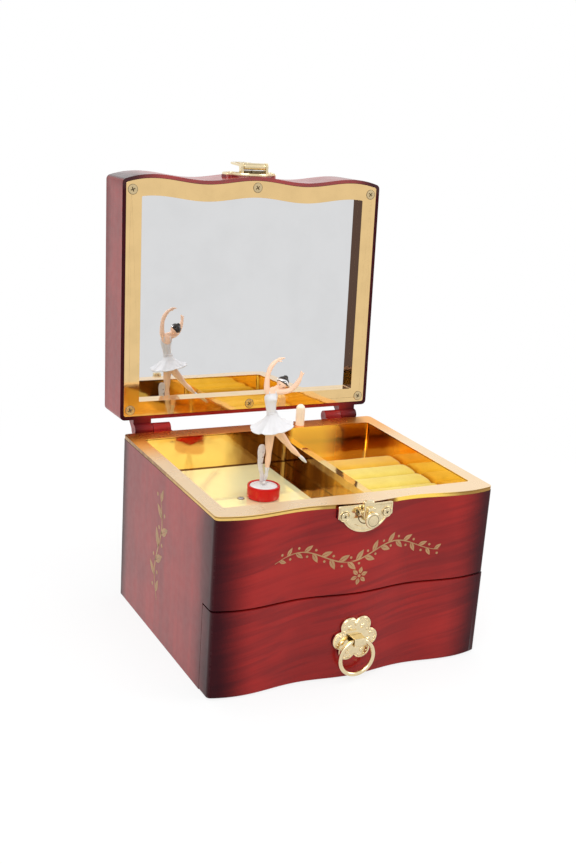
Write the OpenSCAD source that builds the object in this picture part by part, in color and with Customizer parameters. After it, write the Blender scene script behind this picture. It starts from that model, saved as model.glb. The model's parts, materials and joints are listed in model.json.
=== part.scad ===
// Ballerina jewellery box with a wavy front, a mirror lid, a drawer and a wind-up comb movement.
// The origin is on the table under the middle of the case, +Y towards the back, +Z up.
// The lid stands open, as the box is shown in use.

/* [Case] */
// Width of the case
case_w = 150; // [148:1:156]
// Depth of the case, from its mean front line to its back
case_d = 127.6; // [127:0.1:134]
// Height of the case under its gold rim
case_h = 89; // [88:0.5:96]
// Thickness of the case walls
wall = 3; // [2.4:0.1:3.2]
// Radius of the upright corners
corner_r = 2.5; // [1.5:0.1:4]
// Height of a wave of the front
wave_amp = 1.3; // [0.4:0.1:1.6]
// Half the length of a wave of the front
wave_half = 29; // [27:0.5:31]
// Rise of the front towards its corners
tail_rise = 0.0104; // [0.004:0.0002:0.012]

/* [Gold tray] */
// Thickness of the tray's rim plate
rim_t = 2; // [1.6:0.1:2.4]
// Width of the rim at the sides
rim_side = 7.7; // [7:0.1:9]
// Width of the rim behind the compartments
rim_back = 11.6; // [11.2:0.1:12.4]
// Width of the rim in front of the compartments
rim_front = 11; // [9.5:0.1:12]
// Width of the divider between the compartments
divider_w = 4.6; // [3.6:0.1:7]
// Place of the divider's middle
divider_x = 17.5; // [12:0.1:20]
// How far the divider's top lies under the rim
divider_drop = 6.2; // [4:0.1:6.5]
// Radius of the compartments' upright corners
tray_r = 1.8; // [1:0.1:4]
// Thickness of the tray's walls and floor
tray_wall = 1.2; // [0.8:0.1:1.6]
// Depth of the compartments under the rim
tray_depth = 19; // [18:0.5:20]
// Thickness of the mirror plate on the left floor
floor_mirror_t = 1.5; // [1:0.1:1.8]
// Number of ring rolls
roll_n = 5; // [4:1:5]
// Width of one ring roll
roll_w = 15.6; // [13:0.1:16]
// Height of a ring roll
roll_h = 8.5; // [7.5:0.5:13]

/* [Lid] */
// Height of the lid
lid_h = 26; // [24:0.5:32]
// Thickness of the lid's walls
lid_wall = 1.85; // [1.6:0.05:2.2]
// Thickness of the lid's top
lid_top = 3; // [2:0.1:4]
// Angle at which the lid stands open
lid_open = 92.3; // [90:0.1:100]
// Gap between the closed lid and the rim
lid_gap = 0.3; // [0.2:0.05:0.6]
// Distance of the hinge axis behind the case
hinge_back = 5.4; // [5:0.1:7]
// Radius of the hinge knuckles
knuckle_r = 3.1; // [2.6:0.1:3.4]
// Length of one knuckle
knuckle_w = 10; // [8:0.5:11]
// Radius of the hinge pins
hinge_pin_r = 1; // [0.8:0.05:1.3]
// Thickness of the gold frame
frame_t = 1.6; // [1.2:0.1:2]
// Width of the gold frame round the mirror
frame_w = 8.8; // [8.2:0.1:9.6]
// Depth of the mirror behind the frame's face
mirror_recess = 5; // [4.5:0.1:6]
// Thickness of the mirror
mirror_t = 2; // [1.5:0.1:3]

/* [Drawer] */
// Height of the drawer opening
drawer_open_h = 44.9; // [42:0.1:46]
// Thickness of the drawer's front
drawer_front_t = 11.5; // [10:0.1:13]
// How far the drawer's front stands proud of the case
drawer_proud = 0.6; // [0:0.1:1]
// Length of the drawer's tray behind its front
drawer_len = 75; // [60:1:75]
// Height of the drawer's tray
drawer_tray_h = 36; // [25:1:37]
// Thickness of the drawer tray's walls
drawer_wall = 2; // [1.5:0.1:3]
// Outer radius of the pull ring
ring_r = 10.2; // [8:0.1:10.4]
// Radius of the pull ring's wire
ring_wire_r = 1.1; // [1:0.05:1.4]

/* [Dancer] */
// Place of the dancer's middle, left to right
dancer_x = -21; // [-26:0.5:-20]
// Place of the dancer's middle, front to back
dancer_y = 2; // [0:0.5:4]
// Radius of the red cup
cup_r = 8.5; // [8:0.1:10]
// Height of the red cup
cup_h = 6.8; // [6:0.1:7.4]
// Height of the dancer from her toe to her fingertips
figure_h = 65; // [58:0.5:66]
// Radius of the skirt's hem
skirt_r = 11.5; // [8:0.1:11.7]

/* [Movement] */
// Place of the winding axis, left to right
wind_x = -9; // [-12:0.5:-8]
// Height of the winding axis
wind_z = 36; // [35:0.5:37]
// Number of crown pins on the great wheel
crown_n = 36; // [36:12:36]
// Radius of the circle of crown pins
crown_r = 11.4; // [11.2:0.1:11.6]
// Teeth of the two pinions that the crown pins drive
pinion_n = 12; // [12:12:12]
// Radius of the pinned cylinder
cylinder_r = 6.5; // [5.5:0.1:6.6]
// Number of comb teeth
comb_n = 18; // [12:1:18]
// Teeth of the drive gear under the tray
drive_n = 36; // [36:12:36]
// Teeth of the rotor gear under the dancer
rotor_n = 27; // [27:9:27]

/* [Hidden] */

fit = 0.05;      // radial clearance of pins and shafts
gap = 0.3;       // clearance between neighbouring panels
eps = 0.01;
front_y = -case_d / 2;                 // mean front line
back_y = case_d / 2;
rim_z = case_h + rim_t;                // top of the gold rim
lid_z = rim_z + lid_gap;               // underside of the closed lid
hinge_y = back_y + hinge_back;
hinge_z = rim_z + lid_gap / 2;
lid_edge = lid_wall + 0.15;            // red edge seen round the gold frame
inner_back = back_y - wall;

// ---- outlines -------------------------------------------------------------------------------

// front line of every wavy part: two humps and three troughs that fade into rising ends
function wave(x) = abs(x) < 2 * wave_half
    ? front_y - wave_amp * cos(180 * x / wave_half)
    : front_y - wave_amp + tail_rise * pow(abs(x) - 2 * wave_half, 2);

function arc(c, r, a0, a1, n = 4) = [for (i = [0:n]) let(a = a0 + (a1 - a0) * i / n)
    [c[0] + r * cos(a), c[1] + r * sin(a)]];

// outline with a wavy front, moved inwards by inset at the front, with half width hw
function wavy_points(hw, back, inset, r) =
    let(slope = atan(2 * tail_rise * max(0, hw - r - 2 * wave_half)),
        xe = hw - r + r * sin(slope),
        yc = wave(xe) + inset + r * cos(slope),
        n = 2 * round(xe / 2.4))
    concat(arc([-hw + r, yc], r, 180, 270 - slope),
        [for (i = [1:n - 1]) let(x = -xe + 2 * xe * i / n) [x, wave(x) + inset]],
        arc([hw - r, yc], r, -90 + slope, 0),
        arc([hw - r, back - r], r, 0, 90),
        arc([-hw + r, back - r], r, 90, 180));

module wavy_plate(hw, back, inset, r, z0, z1) {
    translate([0, 0, z0]) linear_extrude(z1 - z0) polygon(wavy_points(hw, back, inset, r));
}

module round_rect(x0, x1, y0, y1, r) {
    polygon(concat(arc([x1 - r, y0 + r], r, -90, 0), arc([x1 - r, y1 - r], r, 0, 90),
        arc([x0 + r, y1 - r], r, 90, 180), arc([x0 + r, y0 + r], r, 180, 270)));
}

module box(x0, x1, y0, y1, z0, z1) {
    translate([x0, y0, z0]) cube([x1 - x0, y1 - y0, z1 - z0]);
}

// ---- fasteners ------------------------------------------------------------------------------

// pan-head screw with a cross slot, head above z = 0 and shank below
module pan_screw(head_r, head_h, shank_r, length) {
    difference() {
        union() {
            cylinder(r = head_r, h = head_h, $fn = 32);
            translate([0, 0, -length]) cylinder(r = shank_r, h = length + eps, $fn = 32);
        }
        for (a = [0, 90]) rotate([0, 0, a + 20])
            translate([-head_r * 0.62, -head_r * 0.13, head_h * 0.45])
                cube([head_r * 1.24, head_r * 0.26, head_h]);
    }
}

// ---- gear teeth -----------------------------------------------------------------------------

function inv_angle(rb, r) = r <= rb ? 0 : let(a = acos(rb / r)) tan(a) * 180 / PI - a;

// involute gear outline: add and ded in modules, thin narrows each tooth for backlash
function gear_points(n, m, add, ded, thin, turn) =
    let(rp = n * m / 2, rb = rp * cos(20), ra = rp + add * m, rf = rp - ded * m,
        half = 90 / n * thin + inv_angle(rb, rp),
        rs = [rf, max(rf + 0.02, min(rb, rp)), rp, (rp + ra) / 2, ra])
    [for (k = [0:n - 1], s = [-1, 1], i = s < 0 ? [0:4] : [4:-1:0])
        let(a = turn + 360 * k / n + s * max(0.3, half - inv_angle(rb, rs[i])))
        [rs[i] * cos(a), rs[i] * sin(a)]];

// rotation that puts gear b in mesh with gear a, whose centre lies in direction dir from a
function mesh_turn(na, nb, dir, turn_a) = dir + 180 + (180 - (turn_a - dir) * na) / nb;

module spur(n, m, t, bore, turn = 0, add = 0.8, ded = 1.15, thin = 0.8) {
    difference() {
        linear_extrude(t) polygon(gear_points(n, m, add, ded, thin, turn));
        translate([0, 0, -1]) cylinder(r = bore, h = t + 2, $fn = 32);
    }
}

// turns a part built along +Z so that it lies along +X or +Y
module along_x() { rotate([90, 0, 90]) children(); }
module along_y() { rotate([-90, 0, 0]) children(); }

// ---- case -----------------------------------------------------------------------------------

wood = [0.5, 0.07, 0.07];
gold = [0.86, 0.66, 0.32];
brass = [0.86, 0.78, 0.55];
steel = [0.75, 0.75, 0.77];
nylon = [0.93, 0.92, 0.88];

front_block_y = front_y + drawer_front_t;      // back of the drawer's front
hinge_out = case_w / 2 - 7.4;                  // outer end of the hinges
hinge_mid = hinge_out - knuckle_w;             // between lid knuckle and case knuckle
hinge_in = hinge_mid - knuckle_w - gap;
bay_y = front_block_y + drawer_len + gap * 3;  // front of the wall behind the drawer
bay_t = 1.6;
base_t = 3;
sink = 0.9;                                    // depth of the counterbores of the base screws
boss_r = 3;
screw_r = 1;                                   // shank of the small screws
post_w = 6;                                    // corner posts that the base screws go into
post_h = 10;
post_back = inner_back - 5.8;
base_screw_at = [for (s = [-1, 1]) [s * (case_w / 2 - 9), post_back]];
screw_room = 2.3;                              // radius of their counterbores

plate_top = case_h + 1.6;                      // top edge of the catch plate's ears
plate_w = 29.3;
plate_h = 14;
plate_t = 1.2;
plate_ear = 7.5;
chin_r = 14;
ear_x = 11.3;                                  // screws of the catch plate and the hasp plate
ear_drop = 5;
stud_z = case_h - 4;
stud_r = 3.9;
stud_out = 7.6;                                // from the plate to the face of the stud
stud_t = 1.8;
stud_neck_r = 2.3;

// outline of the catch plate and the hasp plate: straight top, ears and a round chin
module plate_outline() {
    difference() {
        union() {
            translate([-plate_w / 2, -plate_ear]) square([plate_w, plate_ear]);
            intersection() {
                translate([0, chin_r - plate_h]) circle(r = chin_r, $fn = 64);
                translate([-plate_w / 2, -plate_h]) square([plate_w, plate_h]);
            }
        }
        for (s = [-1, 1]) translate([s * (plate_w / 2 + 0.6), -plate_ear - 1.2]) circle(r = 2.6, $fn = 24);
    }
}

// stands a flat outline up on the front of the case, its face towards -Y
module on_front(y, z, t) {
    translate([0, y, z]) rotate([90, 0, 0]) linear_extrude(t) children();
}

crest_y = front_y - wave_amp;                  // foremost line of the case front
bed_y = inner_back - 3.8;                      // front face of the bedplate
bed_t = 2;
boss_h = inner_back - bed_y - bed_t;
bed_screw_at = [for (p = [[-13, -24], [46.3, -24], [-13, 9], [46.3, 6]]) [wind_x + p[0], wind_z + p[1]]];

plunger_x = 26;
plunger_y = back_y - 6.7;
plunger_r = 2.5;
plunger_up = 12;                               // how far it stands above the rim
stem_r = 1.5;
guide_z = case_h - 25;                         // the guide that the stem slides in
guide_t = 3;

module hinge_arm(flip) {
    // side view of the arm from the wall to the knuckle, mirrored upwards for the lid
    s = flip ? 1 : -1;
    g = lid_gap / 2 + 0.05;
    t = flip ? 0 : rim_t + lid_gap / 2 - g;    // the case wall ends under the rim plate
    translate([0, hinge_y, hinge_z]) rotate([90, 0, 90]) linear_extrude(knuckle_w) polygon([
        [-hinge_back + eps, s * g], [0, s * g], [0, s * (knuckle_r - eps)], [-hinge_back + eps, s * 9],
        [-hinge_back - 0.5, s * 9], [-hinge_back - 0.5, s * (g + t)], [-hinge_back + eps, s * (g + t)]]);
}

module knuckle(flip) {
    difference() {
        union() {
            hinge_arm(flip);
            translate([0, hinge_y, hinge_z]) along_x() cylinder(r = knuckle_r, h = knuckle_w, $fn = 48);
        }
        translate([-1, hinge_y, hinge_z]) along_x()
            cylinder(r = hinge_pin_r + fit, h = knuckle_w + 2, $fn = 48);
    }
}

module case_shell() {
    color(wood) difference() {
        union() {
            difference() {
                wavy_plate(case_w / 2, back_y, 0, corner_r, 0, case_h);
                wavy_plate(case_w / 2 - wall, inner_back, wall, max(0.6, corner_r - wall), -1, case_h + 1);
                box(-case_w, case_w, -case_d, front_block_y + gap, -1, drawer_open_h);
            }
            // flat pad behind the catch plate
            intersection() {
                on_front(front_y + 0.3, plate_top, wave_amp + 0.3) plate_outline();
                box(-case_w, case_w, crest_y, 0, 0, case_h);
            }
            for (x = [hinge_in, -hinge_in - knuckle_w]) translate([x, 0, 0]) knuckle(false);
            // bosses for the movement, and corner posts for the base screws
            for (p = bed_screw_at) translate([p[0], inner_back - boss_h, p[1]]) along_y()
                cylinder(r = boss_r, h = boss_h + 0.5, $fn = 32);
            for (s = [0, 1]) mirror([s, 0, 0]) box(case_w / 2 - 9 - post_w / 2, case_w / 2 - 1,
                post_back - post_w / 2, inner_back + 1, base_t, base_t + post_h);
            // guide for the plunger's stem
            difference() {
                box(plunger_x - 4, plunger_x + 4, plunger_y - 3, inner_back + 0.5, guide_z, guide_z + guide_t);
                translate([plunger_x, plunger_y, guide_z - 1])
                    cylinder(r = stem_r + fit, h = guide_t + 2, $fn = 48);
            }
        }
        // bores
        for (p = bed_screw_at) translate([p[0], inner_back - boss_h - 1, p[1]]) along_y()
            cylinder(r = screw_r + fit, h = boss_h + 2.5, $fn = 32);
        for (p = base_screw_at) translate([p[0], p[1], 0])
            cylinder(r = screw_r + fit, h = post_h, $fn = 32);
        for (s = [-1, 1]) translate([s * ear_x, crest_y - 1, plate_top - ear_drop]) along_y()
            cylinder(r = screw_r + fit, h = wall + 1, $fn = 32);
        translate([wind_x, back_y - wall - 1, wind_z]) along_y() cylinder(r = 3.4, h = wall + 2, $fn = 48);
    }
}

module base_panel() {
    color(wood * 0.7) difference() {
        box(-case_w / 2 + wall + gap, case_w / 2 - wall - gap, front_block_y + gap * 2, inner_back - gap,
            0, base_t);
        for (p = base_screw_at) translate([p[0], p[1], -1]) {
            cylinder(r = screw_r + fit, h = base_t + 2, $fn = 32);
            cylinder(r = screw_room, h = 1 + sink, $fn = 32);
        }
    }
}

module base_screws() {
    color(steel) for (p = base_screw_at) translate([p[0], p[1], sink]) mirror([0, 0, 1])
        pan_screw(2, 0.7, screw_r, 8);
}

module bay_divider() {
    // shelf over the drawer and the wall behind it, one L-shaped panel
    color(wood * 0.6) union() {
        intersection() {
            wavy_plate(case_w / 2 - wall - gap, inner_back, wall + gap, 1,
                drawer_open_h, drawer_open_h + bay_t);
            box(-case_w, case_w, -case_d, bay_y + bay_t, 0, case_h);
        }
        box(-case_w / 2 + wall + gap, case_w / 2 - wall - gap, bay_y, bay_y + bay_t,
            base_t + gap, drawer_open_h + eps);
    }
}

// ---- gold tray and what lies in it ----------------------------------------------------------

tray_x0 = -case_w / 2 + rim_side;
tray_x1 = case_w / 2 - rim_side;
tray_y0 = front_y + rim_front;
tray_y1 = back_y - rim_back;
div_x0 = divider_x - divider_w / 2;
div_x1 = divider_x + divider_w / 2;
floor_z = rim_z - tray_depth;                  // what stands in the compartments rests here
left_floor = floor_z - floor_mirror_t;         // tray floor under the mirror plate
tray_bottom = left_floor - tray_wall;
divider_z = rim_z - divider_drop;              // top of the divider
mirror_screw_at = [dancer_x - 11.8, dancer_y + 1.2];

module compartment(x0, x1, z0, grow) {
    translate([0, 0, z0]) linear_extrude(rim_z - z0 + (grow > 0 ? -rim_t : 1))
        round_rect(x0 - grow, x1 + grow, tray_y0 - grow, tray_y1 + grow, tray_r + grow);
}

module gold_tray() {
    color(gold) difference() {
        union() {
            wavy_plate(case_w / 2 - 0.15, back_y - 0.15, 0.15, corner_r, case_h, rim_z);
            compartment(tray_x0, div_x0, tray_bottom, tray_wall);
            compartment(div_x1, tray_x1, tray_bottom, tray_wall);
            compartment(tray_x0, tray_x1, divider_z - rim_t, tray_wall);
            translate([mirror_screw_at[0], mirror_screw_at[1], tray_bottom - 2.4])
                cylinder(r = 2, h = 3, $fn = 32);
            for (p = bridge_post_at) translate([p[0], p[1], bridge_z + bridge_t])
                cylinder(r = 2.4, h = tray_bottom - bridge_z - bridge_t + 0.5, $fn = 32);
        }
        compartment(tray_x0, div_x0, left_floor, 0);
        compartment(div_x1, tray_x1, floor_z, 0);
        compartment(tray_x0, tray_x1, divider_z, 0);
        translate([plunger_x, plunger_y, case_h - 1]) cylinder(r = plunger_r + fit, h = rim_t + 2, $fn = 48);
        translate([mirror_screw_at[0], mirror_screw_at[1], tray_bottom - 3])
            cylinder(r = screw_r + fit, h = 8, $fn = 32);
        for (p = bridge_post_at) translate([p[0], p[1], bridge_z - 1])
            cylinder(r = screw_r + fit, h = 9, $fn = 32);
    }
}

module floor_mirror() {
    color([0.95, 0.88, 0.66]) difference() {
        translate([0, 0, left_floor]) linear_extrude(floor_mirror_t)
            round_rect(tray_x0 + gap, div_x0 - gap, tray_y0 + gap, tray_y1 - gap, tray_r);
        translate([mirror_screw_at[0], mirror_screw_at[1], left_floor - 1])
            cylinder(r = screw_r + fit, h = 4, $fn = 32);
    }
}

module mirror_screw() {
    color(steel) translate([mirror_screw_at[0], mirror_screw_at[1], floor_z]) pan_screw(1.7, 0.6, screw_r, 4.6);
}

module ring_rolls() {
    color([0.97, 0.86, 0.4]) for (i = [0:roll_n - 1]) intersection() {
        translate([div_x1 + gap, tray_y0 + gap + roll_w * (i + 0.5), floor_z + roll_h - roll_w / 2 + gap])
            along_x() cylinder(r = roll_w / 2 - 0.03, h = tray_x1 - div_x1 - 2 * gap, $fn = 48);
        translate([0, 0, floor_z]) linear_extrude(tray_depth)
            round_rect(div_x1 + gap, tray_x1 - gap, tray_y0 + gap, tray_y1 - gap, tray_r);
    }
}

module hinge_pins() {
    color(steel) for (s = [-1, 1]) translate([s > 0 ? hinge_in : -hinge_out, hinge_y, hinge_z])
        along_x() cylinder(r = hinge_pin_r, h = hinge_out - hinge_in, $fn = 48);
}

// ---- latch ----------------------------------------------------------------------------------

module catch_plate() {
    color(brass) difference() {
        union() {
            on_front(crest_y, plate_top, plate_t) plate_outline();
            // round stud on a neck, which the hasp's window drops over, and a thumb tab behind it
            translate([0, crest_y - plate_t + eps, stud_z]) rotate([90, 0, 0]) {
                cylinder(r = stud_neck_r, h = stud_out, $fn = 48);
                translate([0, 0, stud_out - stud_t]) cylinder(r = stud_r, h = stud_t, $fn = 48);
            }
            box(-2.6, 2.6, knob_y + hasp_t / 2 + gap, crest_y - plate_t - gap / 2, stud_z, lid_z + 1.6);
            box(-2.6, 2.6, knob_y + hasp_t / 2 + gap, crest_y - plate_t + eps, stud_z, plate_top);
        }
        for (s = [-1, 1]) translate([s * ear_x, crest_y - plate_t - 1, plate_top - ear_drop]) along_y()
            cylinder(r = screw_r + fit, h = plate_t + 2, $fn = 32);
    }
}

module catch_screws() {
    color(brass) for (s = [-1, 1]) translate([s * ear_x, crest_y - plate_t, plate_top - ear_drop])
        rotate([90, 0, 0]) pan_screw(2, 0.8, screw_r, 3.6);
}

// everything on the lid is built closed and stands open about the hinge axis
module lid_pose() {
    translate([0, hinge_y, hinge_z]) rotate([-lid_open, 0, 0]) translate([0, -hinge_y, -hinge_z]) children();
}

frame_hw = case_w / 2 - lid_edge;
frame_screw_x = frame_hw - 3.5;
frame_screw_at = [for (x = [-frame_screw_x, 0, frame_screw_x])
    each [[x, wave(x) + (x == 0 ? 5.6 : 6.5)], [x, back_y - (x == 0 ? 5 : 5.4)]]];
open_hw = frame_hw - frame_w + 0.4;            // the frame is a little narrower at the sides
open_back = back_y - lid_edge - frame_w + 0.9;
open_inset = lid_edge + frame_w;
skirt_t = 1;
mirror_z = lid_z + mirror_recess;              // face of the mirror when the lid is shut
pad_t = 2;
hasp_z = lid_z + 15.4;                         // top edge of the hasp plate when the lid is shut
knob_y = crest_y - 5;                          // axis of the hasp
knob_z = lid_z + 6.2;
hasp_lean = 90 - lid_open;                     // the folded hasp lies level when the lid stands open
hasp_w = 13;
hasp_len = 21;
hasp_t = 1;
hasp_pin_r = 0.8;
hasp_eye_r = 1.9;

module lid_shell() {
    color(wood) lid_pose() difference() {
        union() {
            difference() {
                wavy_plate(case_w / 2, back_y, 0, corner_r, lid_z, lid_z + lid_h);
                wavy_plate(case_w / 2 - lid_wall, back_y - lid_wall, lid_wall, 1.2, lid_z - 1,
                    lid_z + lid_h - lid_top);
            }
            intersection() {
                on_front(front_y + 0.3, hasp_z, wave_amp + 0.3) plate_outline();
                box(-case_w, case_w, crest_y, 0, lid_z, lid_z + lid_h);
            }
            for (x = [hinge_mid, -hinge_out]) translate([x, 0, 0]) knuckle(true);
            for (p = frame_screw_at) translate([p[0], p[1], lid_z + frame_t])
                cylinder(r = 2.8, h = lid_h - frame_t - 1, $fn = 32);
            // ribs that hold the mirror against the frame
            for (i = [-1:1]) box(-open_hw + 4, open_hw - 4, i * back_y * 0.55 - 1, i * back_y * 0.55 + 1,
                mirror_z + mirror_t + pad_t, lid_z + lid_h - 1);
        }
        for (p = frame_screw_at) translate([p[0], p[1], lid_z]) cylinder(r = screw_r + fit, h = 10, $fn = 32);
        for (s = [-1, 1]) translate([s * ear_x, crest_y - 1, hasp_z - ear_drop]) along_y()
            cylinder(r = screw_r + fit, h = lid_wall + 2, $fn = 32);
    }
}

module lid_frame() {
    color(gold) lid_pose() difference() {
        union() {
            wavy_plate(frame_hw, back_y - lid_edge, lid_edge, 1.2, lid_z, lid_z + frame_t);
            wavy_plate(open_hw + skirt_t, open_back + skirt_t, open_inset - skirt_t, 1, lid_z, mirror_z);
        }
        wavy_plate(open_hw, open_back, open_inset, 0.5, lid_z - 1, mirror_z + 1);
        for (p = frame_screw_at) translate([p[0], p[1], lid_z - 1])
            cylinder(r = screw_r + fit, h = 10, $fn = 32);
    }
}

module lid_mirror() {
    color([0.82, 0.85, 0.87]) lid_pose()
        wavy_plate(open_hw + skirt_t, open_back + skirt_t, open_inset - skirt_t, 0.5,
            mirror_z, mirror_z + mirror_t);
}

module mirror_pad() {
    color([0.75, 0.7, 0.6]) lid_pose()
        wavy_plate(open_hw, open_back, open_inset, 0.5, mirror_z + mirror_t, mirror_z + mirror_t + pad_t);
}

module frame_screws() {
    color(gold) lid_pose() for (p = frame_screw_at) translate([p[0], p[1], lid_z]) mirror([0, 0, 1])
        pan_screw(2.5, 0.2, screw_r, 8);
}

module hasp_plate() {
    color(brass) lid_pose() difference() {
        union() {
            on_front(crest_y, hasp_z, plate_t) plate_outline();
            // two ears that carry the hasp's pin
            for (x = [-hasp_w / 2 - 1.4, hasp_w / 2]) translate([x, 0, 0]) {
                translate([0, knob_y, knob_z]) along_x() cylinder(r = hasp_eye_r, h = 1.4, $fn = 32);
                box(0, 1.4, knob_y, crest_y - plate_t + eps, knob_z - hasp_eye_r, knob_z + hasp_eye_r);
            }
        }
        for (s = [-1, 1]) translate([s * ear_x, crest_y - plate_t - 1, hasp_z - ear_drop]) along_y()
            cylinder(r = screw_r + fit, h = plate_t + 2, $fn = 32);
        translate([-hasp_w, knob_y, knob_z]) along_x() cylinder(r = hasp_pin_r + fit, h = 2 * hasp_w, $fn = 32);
    }
}

module hasp_screws() {
    color(brass) lid_pose() for (s = [-1, 1]) translate([s * ear_x, crest_y - plate_t, hasp_z - ear_drop])
        rotate([90, 0, 0]) pan_screw(2, 0.8, screw_r, 2.6);
}

module hasp_pin() {
    color(steel) lid_pose() translate([-hasp_w / 2 - 1.4, knob_y, knob_z]) along_x()
        cylinder(r = hasp_pin_r, h = hasp_w + 2.8, $fn = 32);
}

// flap with a window, built hanging straight down from its pin and then folded back
module hasp() {
    w = hasp_w - 2 * gap;
    color(brass) lid_pose() translate([0, knob_y, knob_z]) rotate([-180 - hasp_lean, 0, 0]) difference() {
        union() {
            translate([-w / 2, 0, 0]) along_x() cylinder(r = hasp_eye_r - 0.1, h = w, $fn = 32);
            translate([0, hasp_t / 2, 0]) rotate([90, 0, 0]) linear_extrude(hasp_t) union() {
                translate([-w / 2, -hasp_len + 5]) square([w, hasp_len - 5]);
                translate([0, -hasp_len + w / 2]) circle(r = w / 2, $fn = 48);
            }
        }
        translate([-w, 0, 0]) along_x() cylinder(r = hasp_pin_r + fit, h = 2 * w, $fn = 32);
        // window for the stud and its tab
        translate([-stud_r - 0.6, -2, stud_z - knob_z - stud_r - 0.8])
            cube([2 * stud_r + 1.2, 4, 2 * stud_r + 2.6]);
    }
}

// ---- drawer ---------------------------------------------------------------------------------

drawer_z = 0.6;
drawer_slit = 0.8;                             // between the case and the drawer's top
drawer_top = drawer_open_h - drawer_slit;
tray_z0 = base_t + gap;
drawer_hw = case_w / 2 - wall - gap * 1.5;
pull_z = 22;
pull_face = crest_y - drawer_proud;            // foremost line of the drawer's front
pull_t = 1;
ring_z = pull_z - 0.6;                         // hinge axis of the ring
ring_y = pull_face - pull_t - 3;
ring_mid_r = ring_r - ring_wire_r;
staple_w = 6.2;
staple_t = 0.5;
// how far the ring's wire falls away within the staple's width
staple_drop = ring_mid_r - sqrt(ring_mid_r * ring_mid_r - staple_w * staple_w / 4);
staple_up = ring_wire_r + 0.15;                // inside of the staple above and below the wire
staple_down = ring_wire_r + staple_drop + 0.2;
staple_leg = 2.5;                              // its length inside the drawer's front
drawer_screw_x = [-48, 48];
pull_pin_at = [[0, 7.2], [-7.2, -2.4], [7.2, -2.4]];

module drawer_front() {
    color(wood) difference() {
        union() {
            intersection() {
                wavy_plate(case_w / 2, back_y, -drawer_proud, corner_r, drawer_z, drawer_top);
                box(-case_w, case_w, -case_d, front_block_y, 0, case_h);
            }
            intersection() {
                on_front(front_y + 1, pull_z, wave_amp + drawer_proud + 1) pull_outline();
                box(-case_w, case_w, pull_face, 0, 0, case_h);
            }
        }
        for (x = drawer_screw_x) translate([x, front_block_y - 6, tray_z0 + 18]) along_y()
            cylinder(r = screw_r + fit, h = 7, $fn = 32);
        for (p = pull_pin_at) translate([p[0], pull_face - 1, pull_z + p[1]]) along_y()
            cylinder(r = 0.6 + fit, h = 5, $fn = 24);
        staple_slots();
    }
}

module drawer_tray() {
    color(wood * 0.5) difference() {
        box(-drawer_hw, drawer_hw, front_block_y, front_block_y + drawer_len, tray_z0, tray_z0 + drawer_tray_h);
        box(-drawer_hw + drawer_wall, drawer_hw - drawer_wall, front_block_y + drawer_wall,
            front_block_y + drawer_len - drawer_wall, tray_z0 + drawer_wall, case_h);
        for (x = drawer_screw_x) translate([x, front_block_y - 1, tray_z0 + 18]) along_y()
            cylinder(r = screw_r + fit, h = drawer_wall + 2, $fn = 32);
    }
}

module drawer_lining() {
    color([0.95, 0.86, 0.5])
        box(-drawer_hw + drawer_wall + gap, drawer_hw - drawer_wall - gap, front_block_y + drawer_wall + gap,
            front_block_y + drawer_len - drawer_wall - gap, tray_z0 + drawer_wall, tray_z0 + drawer_wall + 1);
}

module drawer_screws() {
    color(steel) for (x = drawer_screw_x) translate([x, front_block_y + drawer_wall, tray_z0 + 18])
        rotate([-90, 0, 0]) pan_screw(2, 0.9, screw_r, 7);
}

// stamped plate shaped like a flower, three lobes down each side
pull_lobes = [[3.4, 5.6, 4.8], [7.5, -1.2, 4.7], [3.9, -7.2, 4.7]];

module pull_outline() {
    circle(r = 7.4, $fn = 48);
    for (s = [-1, 1], p = pull_lobes) translate([s * p[0], p[1]]) circle(r = p[2], $fn = 32);
}

// slots for the staple's two legs, through the plate and into the drawer's front
module staple_slots() {
    for (z = [ring_z + staple_up, ring_z - staple_down - staple_t]) box(-staple_w / 2 - fit, staple_w / 2 + fit,
        pull_face - pull_t - 1, pull_face + staple_leg + 0.5, z - fit, z + staple_t + fit);
}

module pull_plate() {
    color(brass) difference() {
        on_front(pull_face, pull_z, pull_t) pull_outline();
        for (p = pull_pin_at) translate([p[0], pull_face - 3, pull_z + p[1]]) along_y()
            cylinder(r = 0.6 + fit, h = 5, $fn = 24);
        staple_slots();
    }
}

module pull_pins() {
    color(brass) for (p = pull_pin_at) translate([p[0], pull_face - pull_t, pull_z + p[1]]) rotate([90, 0, 0]) {
        cylinder(r1 = 1.3, r2 = 0.8, h = 0.7, $fn = 24);
        translate([0, 0, -4]) cylinder(r = 0.6, h = 4 + eps, $fn = 24);
    }
}

// flat strap bent round the ring's wire, its two legs through the plate
module pull_staple() {
    tail = pull_face + staple_leg - ring_y;
    color(brass) translate([-staple_w / 2, ring_y, ring_z]) rotate([90, 0, 90])
        linear_extrude(staple_w) difference() {
            round_rect(-staple_down - staple_t, tail + 1, -staple_down - staple_t, staple_up + staple_t, 0.9);
            round_rect(-staple_down, tail + 3, -staple_down, staple_up, 0.4);
            translate([tail, -10]) square([5, 20]);
        }
}

module pull_ring() {
    color(brass) translate([0, ring_y, ring_z - ring_mid_r]) rotate([90, 0, 0])
        rotate_extrude($fn = 64) translate([ring_mid_r, 0]) circle(r = ring_wire_r, $fn = 24);
}

// ---- stop plunger ---------------------------------------------------------------------------

shoulder_z = case_h - 6;                       // under the plunger's head
stem_bottom = guide_z - 3;
wire_x = 36.5;

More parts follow.
